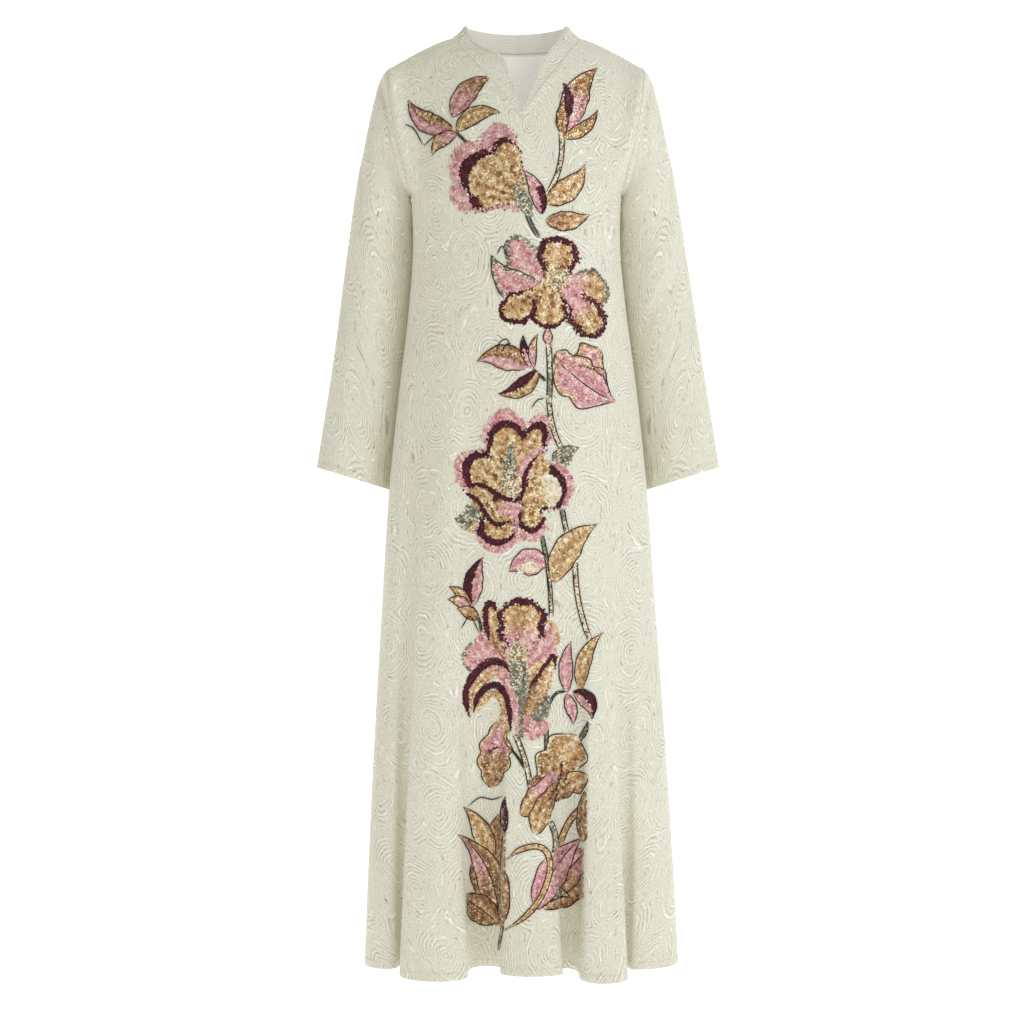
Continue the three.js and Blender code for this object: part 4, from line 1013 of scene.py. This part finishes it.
# thin grey-brown tendrils sewn beside the flowers
tendrils = [
    [(496, 354), (499, 343), (507, 339), (511, 350)], [(502, 352), (505, 345), (511, 343)],
    [(405, 124), (414, 129), (423, 145)], [(424, 146), (435, 136), (446, 132)],
    [(497, 254), (502, 246), (507, 256)], [(461, 628), (470, 616), (479, 632)],
    [(531, 408), (537, 400), (544, 398)], [(544, 552), (547, 575), (551, 600)],
    [(467, 806), (480, 797), (492, 799), (503, 796)], [(504, 742), (512, 750), (522, 762)],
]
petalRows = [
    # first blossom, opening to the upper left: pink behind, a burgundy margin, gold over it
    ("petal", (518, 198), (497, 122), 36, 0.05, "p", "p", {"ragged": True, "fan": 2.4}),
    ("petal", (516, 200), (453, 150), 48, 0.0, "p", "p", {"ragged": True, "fan": 2.2}),
    ("petal", (514, 200), (449, 190), 38, 0.0, "p", "p", {"ragged": True, "fan": 2.2}),
    ("petal", (514, 188), (501, 137), 27, 0.0, "b", "b", {"frayed": 7, "fan": 2.2}),
    ("petal", (512, 190), (462, 162), 44, 0.0, "b", "b", {"frayed": 8, "fan": 2.2}),
    ("petal", (508, 196), (468, 194), 30, 0.0, "b", "b", {"frayed": 7, "fan": 2.2}),
    ("petal", (517, 189), (504, 143), 25, 0.0, "g", "g", {"frayed": 5, "fan": 2.2}),
    ("petal", (515, 192), (472, 168), 44, 0.0, "g", "g", {"frayed": 5, "fan": 2.2}),
    ("petal", (512, 197), (478, 194), 26, 0.0, "g", "g", {"frayed": 4, "fan": 2.2}),
    ("leaf", (532, 216), (514, 180), 14, 0.04, "s", "s", {"cord": False}),
    # second blossom
    ("petal", (554, 284), (513, 235), 34, 0.12, "p", "p", {"edge": "s", "edgeWidth": 4.5}),
    ("leaf", (552, 296), (488, 258), 32, 0.14, "p", "p", {"edge": "s", "edgeWidth": 3.0}),
    ("petal", (558, 282), (609, 288), 44, -0.10, "p", "g", {"edge": "s", "edgeWidth": 4}),
    ("petal", (546, 288), (499, 314), 33, 0.06, "g", "g", {"edge": "b", "edgeWidth": 5, "frayed": 2}),
    ("petal", (556, 284), (560, 236), 42, 0.02, "g", "g", {"edge": "b", "edgeWidth": 6.5, "frayed": 3}),
    ("petal", (562, 288), (599, 337), 36, 0.04, "p", "g", {"edge": "b", "edgeWidth": 6, "frayed": 3}),
    ("petal", (551, 283), (551, 329), 38, -0.04, "g", "g", {"edge": "b", "edgeWidth": 5, "frayed": 2}),
    ("leaf", (548, 344), (547, 327), 9, 0.0, "p", "p", {}),
    ("disc", (558, 278), (570, 278), 22, 0, "s", "g", {}),
    # third blossom: pink behind, burgundy margins, gold over them
    ("leaf", (484, 512), (455, 520), 28, 0.1, "s", "s", {"cord": False}),
    ("leaf", (482, 520), (466, 530), 12, 0.1, "g", "g", {"cord": False}),
    ("leaf", (556, 468), (577, 446), 20, 0.1, "s", "s", {"cord": False}),
    ("petal", (510, 495), (504, 408), 50, 0.0, "p", "p", {"ragged": True}),
    ("petal", (515, 480), (545, 414), 32, 0.0, "p", "p", {"ragged": True}),
    ("petal", (505, 492), (457, 457), 44, 0.0, "p", "p", {"ragged": True}),
    ("petal", (520, 490), (574, 483), 50, 0.0, "p", "p", {"ragged": True}),
    ("petal", (505, 498), (492, 552), 46, 0.0, "p", "p", {"ragged": True}),
    ("petal", (524, 502), (536, 541), 30, 0.0, "p", "p", {"ragged": True}),
    ("petal", (510, 490), (505, 419), 42, 0.0, "b", "b", {"frayed": 4}),
    ("petal", (512, 480), (543, 422), 28, 0.0, "b", "b", {"frayed": 4}),
    ("petal", (506, 490), (465, 458), 40, 0.0, "b", "b", {"frayed": 4}),
    ("petal", (522, 492), (567, 484), 44, 0.0, "b", "b", {"frayed": 3}),
    ("petal", (500, 503), (494, 546), 38, 0.0, "b", "b", {"frayed": 3}),
    ("petal", (526, 500), (534, 533), 26, 0.0, "b", "b", {"frayed": 2}),
    ("petal", (510, 490), (506, 427), 34, 0.0, "g", "g", {"frayed": 3}),
    ("petal", (514, 480), (539, 429), 20, 0.0, "g", "g", {"frayed": 3}),
    ("petal", (508, 492), (473, 462), 32, 0.0, "g", "g", {"frayed": 3}),
    ("petal", (502, 505), (497, 539), 30, 0.0, "g", "g", {"frayed": 2}),
    ("petal", (528, 500), (533, 527), 20, 0.0, "g", "g", {}),
    ("leaf", (519, 482), (542, 443), 17, 0.0, "p", "p", {"cord": False}),
    ("petal", (530, 506), (540, 453), 19, -0.06, "g", "g", {}),
    ("petal", (526, 496), (561, 486), 34, 0.0, "g", "w", {}),
    ("leaf", (497, 510), (525, 506), 15, 0.0, "p", "p", {"cord": False}),
    ("petal", (499, 524), (474, 487), 20, 0.0, "g", "g", {}),
    ("band", [(543, 449), (531, 463), (523, 480), (521, 497), (507, 499), (494, 492), (478, 484), (463, 490)],
     5.0, 0, "b", "b", {}),
    ("band", [(463, 491), (477, 500), (486, 514), (496, 524), (514, 520)], 5.0, 0, "b", "b", {}),
    ("leaf", (513, 498), (509, 440), 14, 0.02, "s", "s", {"cord": False}),
    ("disc", (511, 484), (522, 484), 24, 0, "s", "g", {}),
    # fourth blossom
    ("petal", (512, 655), (464, 650), 40, 0.1, "p", "p", {"edge": "s", "edgeWidth": 3.4}),
    ("petal", (508, 658), (478, 634), 22, 0.0, "p", "p", {}),
    ("petal", (524, 668), (550, 620), 26, -0.1, "p", "p", {"edge": "g", "edgeWidth": 4}),
    ("petal", (508, 658), (489, 602), 22, 0.05, "c", "g", {}),
    ("band", [(489, 642), (486, 624), (486, 608), (491, 603), (497, 612)], 6.0, 0, "b", "b", {"frayed": 2}),
    ("petal", (520, 664), (522, 597), 50, 0.0, "p", "g", {"edge": "b", "edgeWidth": 7, "frayed": 4}),
    ("petal", (532, 664), (552, 640), 26, 0.0, "p", "p", {}),
    ("petal", (528, 704), (536, 739), 32, 0.0, "p", "p", {}),
    ("leaf", (534, 722), (548, 694), 18, 0.0, "s", "s", {"cord": False}),
    ("leaf", (527, 716), (556, 652), 32, 0.10, "c", "g", {"cord": False}),
    ("band", [(528, 690), (540, 672), (553, 655), (555, 668)], 4.6, 0, "b", "b", {}),
    ("band", [(469, 716), (466, 700), (470, 682), (480, 668), (493, 661), (504, 665), (511, 674)],
     8.2, 0, "b", "b", {}),
    ("band", [(472, 712), (474, 694), (483, 680), (496, 671), (508, 680), (514, 702), (517, 734)],
     12, 0, "g", "p", {}),
    ("band", [(473, 713), (477, 698), (486, 687), (497, 685), (505, 694), (509, 712), (511, 734)],
     6.8, 0, "b", "b", {}),
    ("band", [(477, 712), (482, 702), (489, 695), (497, 694), (502, 704), (505, 722), (510, 738)],
     6.4, 0, "g", "g", {}),
    ("leaf", (523, 704), (514, 636), 19, 0.0, "s", "s", {"cord": False}),
    ("stem", (521, 690), (521, 736), 4.6, 0.0, "s", "s", {"cord": False}),
    ("disc", (515, 655), (521, 655), 17, 0, "s", "s", {}),
    ("disc", (518, 652), (528, 652), 20, 0, "s", "p", {}),
]


# The rib and half width of one motif. The rib is straight plus a sideways bow of 4t(1-t), and a leaf's
# tip hooks back by t to the power 5. A leaf's half width is a sine of t to the power 0.8; a petal's is
# fullest at two thirds; lobes ripple it.
def motifShape(row):
    kind, start, end, width, bend, _, _, extra = row if len(row) == 8 else (row[0], None, row[1], *row[2:])
    n = 64
    t = np.linspace(0, 1, n)
    if kind == "band":
        rib = pointsThrough(np.array(end, float))(t * (len(end) - 1))
        half = width / 2 * np.clip(np.minimum(t, 1 - t) * 6, 0.15, 1)
    else:
        start, end = np.array(start, float), np.array(end, float)
        ahead = end - start
        side = np.array([ahead[1], -ahead[0]])
        rib = start + ahead * t[:, None] + side * (bend * 4 * t * (1 - t))[:, None]
        if kind == "stem":
            half = np.full(n, width / 2)
        elif kind == "disc":
            rib = start + ahead * (t[:, None] * 2 - 1)
            half = width / 2 * np.sqrt(np.maximum(0, 1 - (2 * t - 1) ** 2))
        elif kind == "petal":
            half = width / 2 * np.sin(math.pi * (0.10 + 0.90 * t ** extra.get("fan", 1.7))) ** 0.58
            half *= 1 + 0.07 * np.sin(t * 19 + width)
        else:
            rib = rib - side * (math.copysign(0.07, bend) * t ** 5)[:, None]
            half = width / 2 * np.sin(math.pi * t ** 0.82) ** (0.72 + 0.5 * t)
            half *= 1 + 0.04 * np.sin(t * 23 + width)
        if extra.get("lobes"):
            half *= 0.76 + 0.30 * np.abs(np.sin(math.pi * extra["lobes"] * t + 0.5))
    length = np.linalg.norm(np.diff(rib, axis=0), axis=1).sum()
    return {"kind": kind, "rib": rib, "half": np.maximum(half, 0.01), "t": t, "length": length}


# Where points fall on a motif: the nearest point of the rib gives t, and the signed distance from it
# over the half width there gives s.
def motifPlace(shape, points):
    rib, half = shape["rib"], shape["half"]
    away = points[:, None] - rib[None]
    near = np.argmin((away ** 2).sum(-1), 1)
    ahead = unit(np.gradient(rib, axis=0))
    offset = points - rib[near]
    side = offset[:, 0] * ahead[near, 1] - offset[:, 1] * ahead[near, 0]
    distance = np.linalg.norm(offset, axis=1)
    return shape["t"][near], side / half[near], distance / half[near], half[near]


# A smooth uneven field from about -1 to 1: the mean of four crossed sines.
def driftAt(spots):
    x, y = spots[:, 0], spots[:, 1]
    crossed = np.sin(x * 0.93 + y * 0.31) + np.sin(y * 1.07 - x * 0.42 + 1.7)
    return (crossed + np.sin(x * 0.47 + y * 0.83 + 4.1) + np.sin(x * 1.31 - y * 0.66 + 2.6)) / 2.4


# Spots of a grid of triangles that lie inside a motif, and where they fall on it. A ragged motif loses
# spots near its edge, a frayed one has teeth round its far end, and one that goes into a fold of the
# cloth keeps what lies within two values of x.
def spotsInside(rng, shape, extra):
    pitch = flowerWork["pitch"]
    low = (shape["rib"] - shape["half"].max() - 3).min(0)
    high = (shape["rib"] + shape["half"].max() + 3).max(0)
    x, y = np.meshgrid(np.arange(low[0], high[0] + pitch, pitch), np.arange(low[1], high[1] + pitch, pitch * 0.866))
    x = x + pitch / 2 * (np.arange(len(y)) % 2)[:, None]
    spots = np.stack([x.ravel(), y.ravel()], 1)
    spots += rng.normal(0, flowerWork["jitter"] * pitch * 0.5, spots.shape)
    t, s, reach, half = motifPlace(shape, spots)
    look, limit = unevenEdge, np.ones(len(spots))
    if extra.get("ragged"):
        limit = rng.uniform(*look["ragged"], len(spots)) + look["drift"] * driftAt(spots)
    if extra.get("frayed"):
        teeth = look["teeth"] * driftAt(spots * look["toothPitch"])
        limit = 1 + extra["frayed"] / np.maximum(half, 6) * teeth
    inside = reach < limit
    if shape["kind"] == "stem":
        standOut = rng.random(len(spots)) < look["stemShare"]
        inside |= (reach < look["stemReach"]) & (half < look["thinStem"]) & standOut
    inside &= ~beyond(extra, spots)
    return t[inside], s[inside], reach[inside], half[inside], spots[inside]


# How uneven an edge is: limits and drift of a ragged one, depth and pitch of a frayed one's teeth, and
# which sequins of a thin stem may stand a little out, and their share.
unevenEdge = {"ragged": (0.74, 1.08), "drift": 0.06, "teeth": 0.55, "toothPitch": 1.35,
              "stemReach": 1.15, "thinStem": 1.2, "stemShare": 0.8}


# Spots outside the two values of x that a motif keeps within; none, if it has no such values.
def beyond(extra, spots, margin=0):
    low, high = extra.get("within", (-math.inf, math.inf))
    return (spots[:, 0] <= low - margin) | (spots[:, 0] >= high + margin)


# Shares of sequins in another colour than their motif's, and where along the streaks they begin. The champagne and
# gold along bright streaks and the share that jumps to its glint colour are painted highlights.
strays = {"pale": 0.03, "champagneHighlight": 0.8, "highlightFrom": 0.48, "pink": 0.05, "copper": 0.10, "copperLitGold": 0.3,
          "copperPale": 0.965, "sage": 0.24, "stem": 0.34, "bright": 0.04}


# A colour letter and a shade-to-glint value for each sequin of a motif. The colour changes from start to end half
# way, on one side of the rib or along the edge, as the motif says. The values run in streaks of painted light and
# shade along a petal: a sine of s with uneven drift.
def sequinLook(rng, number, row, shape, places):
    t, s, reach, half, spots = places
    start, end, extra, kind, count = *row[-3:], shape["kind"], len(spots)
    wobble = rng.normal(0, 0.07, count) + 0.08 * driftAt(spots)
    colour = np.where(t + wobble < 0.5, start, end)
    if extra.get("half"):
        onSide = (s * extra.get("halfSide", 1) < wobble * 0.8) & (t < extra.get("halfUntil", 1.0))
        colour = np.where(onSide, extra["half"], colour)
    shadeGlintStreak = np.sin(s * (5 + number % 4) + 1.7 * number + 2.0 * t) * 0.5 + 0.5 * driftAt(spots * 0.7)
    # painted shade: in the dark streaks near its base a gold petal turns copper
    if start == end == "g" and kind == "petal":
        colour = np.where((t < 0.55) & (shadeGlintStreak < -0.25), "c", colour)
    if extra.get("edge"):
        gap = np.minimum((1 - reach) * half, (1 - t) * shape["length"] * 0.9)
        gap += rng.normal(0, 0.3, count) + 1.5 * driftAt(spots * 1.7)
        after = 0.30 + wobble if kind == "petal" else -1
        atEdge = (gap < extra["edgeWidth"]) & (t > after) & (t <= extra.get("edgeUntil", 1.0))
        colour = np.where(atEdge, extra["edge"], colour)
    if kind == "disc":
        colour = rng.choice(["s", "s", "g", "w", "w", "c"], count)
    chance = rng.random(count)
    # painted highlights: gold turns champagne, and copper gold, along the bright streaks
    champagneHighlight = strays["pale"] + strays["champagneHighlight"] * clamp01(shadeGlintStreak - strays["highlightFrom"])
    colour = np.where((colour == "g") & (chance < champagneHighlight), "w", colour)
    colour = np.where((colour == "p") & (chance < strays["pink"]), rng.choice(["g", "w"], count), colour)
    goldShare = strays["copper"] + strays["copperLitGold"] * clamp01(shadeGlintStreak)
    colour = np.where((colour == "c") & (chance < goldShare), "g", colour)
    colour = np.where((colour == "c") & (chance > strays["copperPale"]), "w", colour)
    colour = np.where((colour == "s") & (chance < strays["sage"]), rng.choice(["g", "w", "w"], count), colour)
    onStem = (colour == "w") & (kind == "stem") & (chance < strays["stem"])
    colour = np.where(onStem, rng.choice(["s", "c", "s"], count), colour)
    # painted shade and glint: the value sets each sequin's colour between its shadow and glint colours; a small share
    # jumps to the glint end
    tone = 0.5 + 0.32 * shadeGlintStreak + rng.normal(0, 0.15, count)
    return colour, tone + (rng.random(count) < strays["bright"]) * 0.6


# All motifs in painter's order: a later one takes away what an earlier one laid under it.
def layMotifs():
    rng = np.random.default_rng(flowerWork["seed"])
    rows = leafRows + petalRows
    shapes = [motifShape(row) for row in rows]
    laid = [np.zeros((0, 2)), np.zeros(0, "U1"), np.zeros(0)]
    for number, (row, shape) in enumerate(zip(rows, shapes)):
        places = spotsInside(rng, shape, row[-1])
        look = sequinLook(rng, number, row, shape, places)
        if len(laid[0]):
            keep = (motifPlace(shape, laid[0])[2] >= 0.98) | beyond(row[-1], laid[0])
            laid = [values[keep] for values in laid]
        laid = [np.concatenate(pair) for pair in zip(laid, (places[-1], *look))]
    return laid[0], laid[1], np.clip(laid[2], 0, 1), openOutlines(rows, shapes)


# Outlines and ribs of the motifs that have a cord, where no later motif covers them, and the tendrils.
def openOutlines(rows, shapes):
    lines = []
    for k, (row, shape) in enumerate(zip(rows, shapes)):
        if not row[-1].get("cord", shape["kind"] in ("leaf", "stem")):
            continue
        ahead = unit(np.gradient(shape["rib"], axis=0))
        side = np.stack([ahead[:, 1], -ahead[:, 0]], 1)
        for sign in (-1, 1):
            lines.append((k, shape["rib"] + side * (shape["half"] * sign)[:, None]))
        if row[-1].get("rib"):
            lines.append((k, shape["rib"][3:-6]))
    kept = [pointsThrough(np.array(path, float))(np.linspace(0, len(path) - 1, 14)) for path in tendrils]
    for k, line in lines:
        free = ~beyond(rows[k][-1], line, margin=1)
        for later in range(k + 1, len(shapes)):
            free &= (motifPlace(shapes[later], line)[2] > 0.93) | beyond(rows[later][-1], line)
        ends = np.nonzero(np.diff(free.astype(int)))[0] + 1
        for run, ok in zip(np.split(line, ends), np.split(free, ends)):
            if ok[0] and len(run) > 4:
                kept.append(run[::2])
    return kept


def makeCloth():
    cloth, back, lining = makeJacquard(), makeReverse(), makeSatin()
    front, rear = makePanel("front", frontFolds, frontCreases), makePanel("back", backFolds, backCreases)
    sleeves = [makeSleeve(front, rear, 1), makeSleeve(front, rear, -1)]
    collar = makeCollar(front, rear)
    made = {}
    for key, name, node, piece in (
        ("front", "frontPanelCloth", "front_panel", front),
        ("back", "backPanelCloth", "back_panel", rear),
        ("leftSleeve", "leftSleeveCloth", "sleeve_left", sleeves[0]),
        ("rightSleeve", "rightSleeveCloth", "sleeve_right", sleeves[1]),
        ("collar", "collarBandCloth", "collar_band", collar),
        ("lining", "backLiningSatin", "back_lining", makeLining(rear)),
    ):
        materials = [lining] if key == "lining" else [cloth, back]
        made[key] = wallMesh(name, piece, "Sleeve" in key, materials)
        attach(made[key], "root")
        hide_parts(node)
    print("cloth pieces made:", {key: len(piece.data.polygons) for key, piece in made.items()})
    return made, (front, rear, sleeves, collar), outerTree(front)


# the picture's scale, and the pixel that lies at the frame's origin
picture = {"mmPerPixel": 1.46, "originX": 518, "originY": 48}


# A photograph's pixel as a ray from the camera, and where it meets the front.
def ontoFront(tree, pixels):
    eye, pixel = Vector(studio["eye"]), picture["mmPerPixel"] * mm
    spots, normals, hit = [], [], []
    for px, py in pixels:
        toward = Vector(((px - picture["originX"]) * pixel, 0, (picture["originY"] - py) * pixel)) - eye
        place, normal, _, _ = tree.ray_cast(eye, toward.normalized())
        hit.append(place is not None)
        spots.append(place[:] if place else (0, 0, 0))
        normals.append(normal[:] if place else (0, -1, 0))
    hit, spots, normals = np.array(hit), np.array(spots, float), np.array(normals, float)
    normals *= np.where(normals[:, 1] > 0, -1, 1)[:, None]
    return spots, normals, hit


# Sequins: a low pyramid of six sides above and below a six-sided rim, laid on the cloth at its own tilt.
def makeSequins(tree, finishes):
    work = flowerWork
    rng = np.random.default_rng(work["seed"] + 1)
    places, colours, tone, lines = layMotifs()
    spots, normals, hit = ontoFront(tree, places)
    spots, normals, colours, tone = spots[hit], normals[hit], colours[hit], tone[hit]
    tilted = unit(normals + rng.normal(0, work["tilt"] * 0.5, normals.shape))
    spots = spots + normals * (work["lift"] * mm * rng.uniform(0.7, 1.3, len(spots)))[:, None]
    side = unit(np.cross(tilted, rng.normal(0, 1, tilted.shape)))
    other = np.cross(tilted, side)
    turn = np.arange(6) * math.pi / 3
    made = []
    for key, material in finishes.items():
        pick = colours == key
        count = int(pick.sum())
        if not count:
            continue
        size = work["size"] * mm * (1 if key != "b" else work["burgundySize"])
        centre = spots[pick][:, None]
        across, along = side[pick][:, None], other[pick][:, None]
        rim = centre + (across * np.cos(turn)[:, None] + along * np.sin(turn)[:, None]) * size
        top = centre + tilted[pick][:, None] * work["dome"] * mm
        under = centre - tilted[pick][:, None] * work["dome"] * mm
        points = np.concatenate([top, rim, under], 1).reshape(-1, 3)
        k = np.arange(6)
        upper = np.stack([np.zeros(6, int), 1 + k, 1 + (k + 1) % 6], 1)
        lower = np.stack([np.full(6, 7), 1 + (k + 1) % 6, 1 + k], 1)
        faces = (np.arange(count)[:, None, None] * 8 + np.concatenate([upper, lower])[None]).reshape(-1, 3)
        shadesToGlints = np.repeat(tone[pick], len(upper) + len(lower))
        made.append(addPiece(material.name + "s", points, faces, [material], shadesToGlints, smoothFaces=False))
        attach(made[-1], "root")
        print("sequins", key, count)
    return made, lines


# Glass beads sewn round each flower's centre: icosahedra, shaded smooth. Each bead's colour sits at random between
# the champagne finish's painted shadow and painted glint.
beads = {"every": 15, "radiusMm": 1.7, "spread": 0.62, "stretch": (0.8, 1.3)}


def makeBeads(tree, material):
    rng = np.random.default_rng(flowerWork["seed"] + 2)
    gold = (1 + math.sqrt(5)) / 2
    corners = np.array([(-1, gold, 0), (1, gold, 0), (-1, -gold, 0), (1, -gold, 0), (0, -1, gold), (0, 1, gold),
                        (0, -1, -gold), (0, 1, -gold), (gold, 0, -1), (gold, 0, 1), (-gold, 0, -1), (-gold, 0, 1)])
    corners /= np.linalg.norm(corners[0])
    sides = np.array([(0, 11, 5), (0, 5, 1), (0, 1, 7), (0, 7, 10), (0, 10, 11),
                      (1, 5, 9), (5, 11, 4), (11, 10, 2), (10, 7, 6), (7, 1, 8),
                      (3, 9, 4), (3, 4, 2), (3, 2, 6), (3, 6, 8), (3, 8, 9),
                      (4, 9, 5), (2, 4, 11), (6, 2, 10), (8, 6, 7), (9, 8, 1)])
    places = []
    for row in petalRows:
        if row[0] == "disc":
            away = rng.normal(0, row[3] / 2 * beads["spread"], (beads["every"], 2))
            places.append(np.array(row[1]) + away * beads["stretch"])
    spots, normals, hit = ontoFront(tree, np.concatenate(places))
    spots, normals = spots[hit], normals[hit]
    centre = spots + normals * beads["radiusMm"] * mm
    sizes = rng.uniform(0.75, 1.1, len(spots))[:, None, None]
    points = (centre[:, None] + corners[None] * beads["radiusMm"] * mm * sizes).reshape(-1, 3)
    faces = (np.arange(len(spots))[:, None, None] * 12 + sides[None]).reshape(-1, 3)
    tone = np.repeat(rng.uniform(0.2, 1.0, len(spots)), len(sides))
    made = addPiece("flowerCentreBeads", points, faces, [material], tone)
    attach(made, "root")
    return made


# The cord lies a little above the cloth, and is broken where it would jump from one fold to another.
outlineWork = {"lift": 1.1, "radius": 0.88, "jump": 12}


def makeOutlines(tree, lines, material):
    laid = []
    for line in lines:
        spots, normals, hit = ontoFront(tree, line)
        jump = np.concatenate([[0], np.linalg.norm(np.diff(spots, axis=0), axis=1)])
        cut = np.nonzero((jump > outlineWork["jump"] * mm) | ~hit)[0]
        for run in np.split(np.arange(len(line)), cut):
            run = run[hit[run]]
            if len(run) > 2:
                laid.append((spots[run] + normals[run] * outlineWork["lift"] * mm, normals[run]))
    made = tubes("flowerOutlineCords", laid, outlineWork["radius"] * mm, material, taper=True)
    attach(made, "root")
    return made


# A run of stitches along a line: short closed spindles of five sides, one every few millimetres.
# The line is cut into equal steps; each stitch covers a share of its step and stands on the cloth.
stitches = {"everyMm": 3.4, "share": 0.68, "radiusMm": 0.42, "sides": 5, "lift": 0.25, "zigzag": 0.9, "seamLift": 1.2,
            "stations": ((-1.0, 0.35), (-0.55, 1.0), (0.55, 1.0), (1.0, 0.35)), "tapeRadius": 1.25}


def stitchRun(lines):
    points, faces, sides, stations = [], [], stitches["sides"], stitches["stations"]
    turn = np.arange(sides) * 2 * math.pi / sides
    for line, normal, zigzag in lines:
        along = np.concatenate([[0], np.cumsum(np.linalg.norm(np.diff(line, axis=0), axis=1))])
        count = max(2, int(along[-1] / stitches["everyMm"]))
        at = (np.arange(count) + 0.5) * along[-1] / count

        def sampled(values):
            return np.stack([np.interp(at, along, values[:, k]) for k in range(3)], 1)

        place = sampled(line)
        ahead = unit(sampled(np.gradient(line, along, axis=0)))
        side = unit(np.cross(ahead, sampled(normal)))
        up = np.cross(side, ahead)
        ahead = ahead + side * (zigzag * (-1.0) ** np.arange(count))[:, None]
        reach = stitches["everyMm"] * stitches["share"] / 2
        ring = side[:, None] * np.cos(turn)[None, :, None] + up[:, None] * np.sin(turn)[None, :, None]
        middle, step, ring = place[:, None], ahead[:, None] * reach, ring * stitches["radiusMm"]
        rings = [middle + step * u + ring * size for u, size in stations]
        base, size = sum(map(len, points)), sides * len(stations)
        points.append(np.stack(rings, 1).reshape(-1, 3))
        for n in range(count):
            faces.extend(ringFaces(base + n * size, len(stations), sides))
    return np.concatenate(points), faces


# A row of a grid as a line for stitches, a little above the cloth, and its normals; a ring is closed.
def rowLine(grid, row, wrapped=False):
    normals = gridNormals(grid, wrapped, 1)
    outward = normals[row] * np.sign((normals[row] * (grid[row] - grid[row].mean(0))).sum())
    line = grid[row] + outward * stitches["lift"]
    return [np.concatenate([part, part[:1]]) if wrapped else part for part in (line, outward)]


def makeStitches(front, rear, sleeves, collar, material):
    lines = [(*rowLine(panel["rows"], hemLine["rows"]), 0.0) for panel in (front, rear)]
    for sleeve in sleeves:
        down = np.linalg.norm(np.diff(sleeve["rows"][:, 0], axis=0), axis=1)[::-1].cumsum()
        row = len(sleeve["rows"]) - 2 - int(np.argmin(np.abs(down - turnedHem["height"])))
        lines.append((*rowLine(sleeve["rows"], row, True), 0.0))
    low, high = collar["normals"][0], collar["normals"][-1]
    lines.append((collar["edge"], high, 0.0))
    lines.append((collar["seam"] - low * stitches["seamLift"], low, stitches["zigzag"]))
    points, faces = stitchRun([(swayed(line), normal, zigzag) for line, normal, zigzag in lines])
    made = addPiece("hemAndSeamStitches", points * mm, faces, [material])
    tape = tubes("neckSeamTape", [(swayed(collar["seam"]) * mm, low)], stitches["tapeRadius"] * mm, material, sides=8)
    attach(made, "root")
    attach(tape, "root")


def makeStudio():
    scene = bpy.context.scene
    camera = bpy.data.objects.new("photoCamera", bpy.data.cameras.new("photoCamera"))
    camera.location = studio["eye"]
    camera.rotation_euler = (math.pi / 2, 0, 0)
    camera.data.lens = studio["lens"]
    camera.data.sensor_width = studio["sensor"]
    scene.collection.objects.link(camera)
    scene.camera = camera
    scene.view_settings.view_transform = "Standard"
    world = bpy.data.worlds.new("softSky")
    world.use_nodes = True
    sky = world.node_tree.nodes["Background"]
    fillInputs(world.node_tree, sky, {"Color": studio["skyColour"], "Strength": studio["skyStrength"]})
    scene.world = world
    # a pale sweep: floor, a quarter-round and a wall, as one profile carried along X
    sweep, floorZ = studio["sweep"], studio["floorZ"]
    profile = [(sweep["front"], floorZ)]
    for turn in np.linspace(0, math.pi / 2, sweep["turns"]):
        rise = floorZ + sweep["bend"] * (1 - math.cos(turn))
        profile.append((sweep["bendAt"] + sweep["bend"] * math.sin(turn), rise))
    profile.append((sweep["bendAt"] + sweep["bend"], sweep["top"]))
    points = [(x, y, z) for x in (-sweep["half"], sweep["half"]) for y, z in profile]
    n = len(profile)
    faces = [(k, n + k, n + k + 1, k + 1) for k in range(n - 1)]
    material, tree, surface = newMaterial("mattWhiteSweep")
    fillInputs(tree, surface, {"Base Color": linear(sweep["colour"]), "Roughness": sweep["roughness"],
                               "Emission Color": (1, 1, 1, 1), "Emission Strength": studio["sweepGlow"]})
    addPiece("paleSweep", points, faces, [material])
    for name, (place, size, power) in studio["lamps"].items():
        lamp = bpy.data.lights.new(name, "AREA")
        lamp.size = size
        lamp.energy = power
        lamp.color = studio["keyColour"]
        made = bpy.data.objects.new(name, lamp)
        made.location = place
        made.rotation_euler = (Vector(studio["aim"]) - Vector(place)).to_track_quat("-Z", "Y").to_euler()
        scene.collection.objects.link(made)


def main():
    makeStudio()
    print("studio made")
    cloth, shapes, tree = makeCloth()
    finishes = {key: makeSequinFinish(*value) for key, value in sequinColours.items()}
    sequins, lines = makeSequins(tree, finishes)
    outline = makeOutlines(tree, lines, makeThread(*outlineCord))
    sewnBeads = makeBeads(tree, finishes["w"])
    print("flowers laid")
    makeStitches(*shapes, makeThread(*sewingThread))
    print("stitches made")
    flowers = [*sequins, outline, sewnBeads]


main()
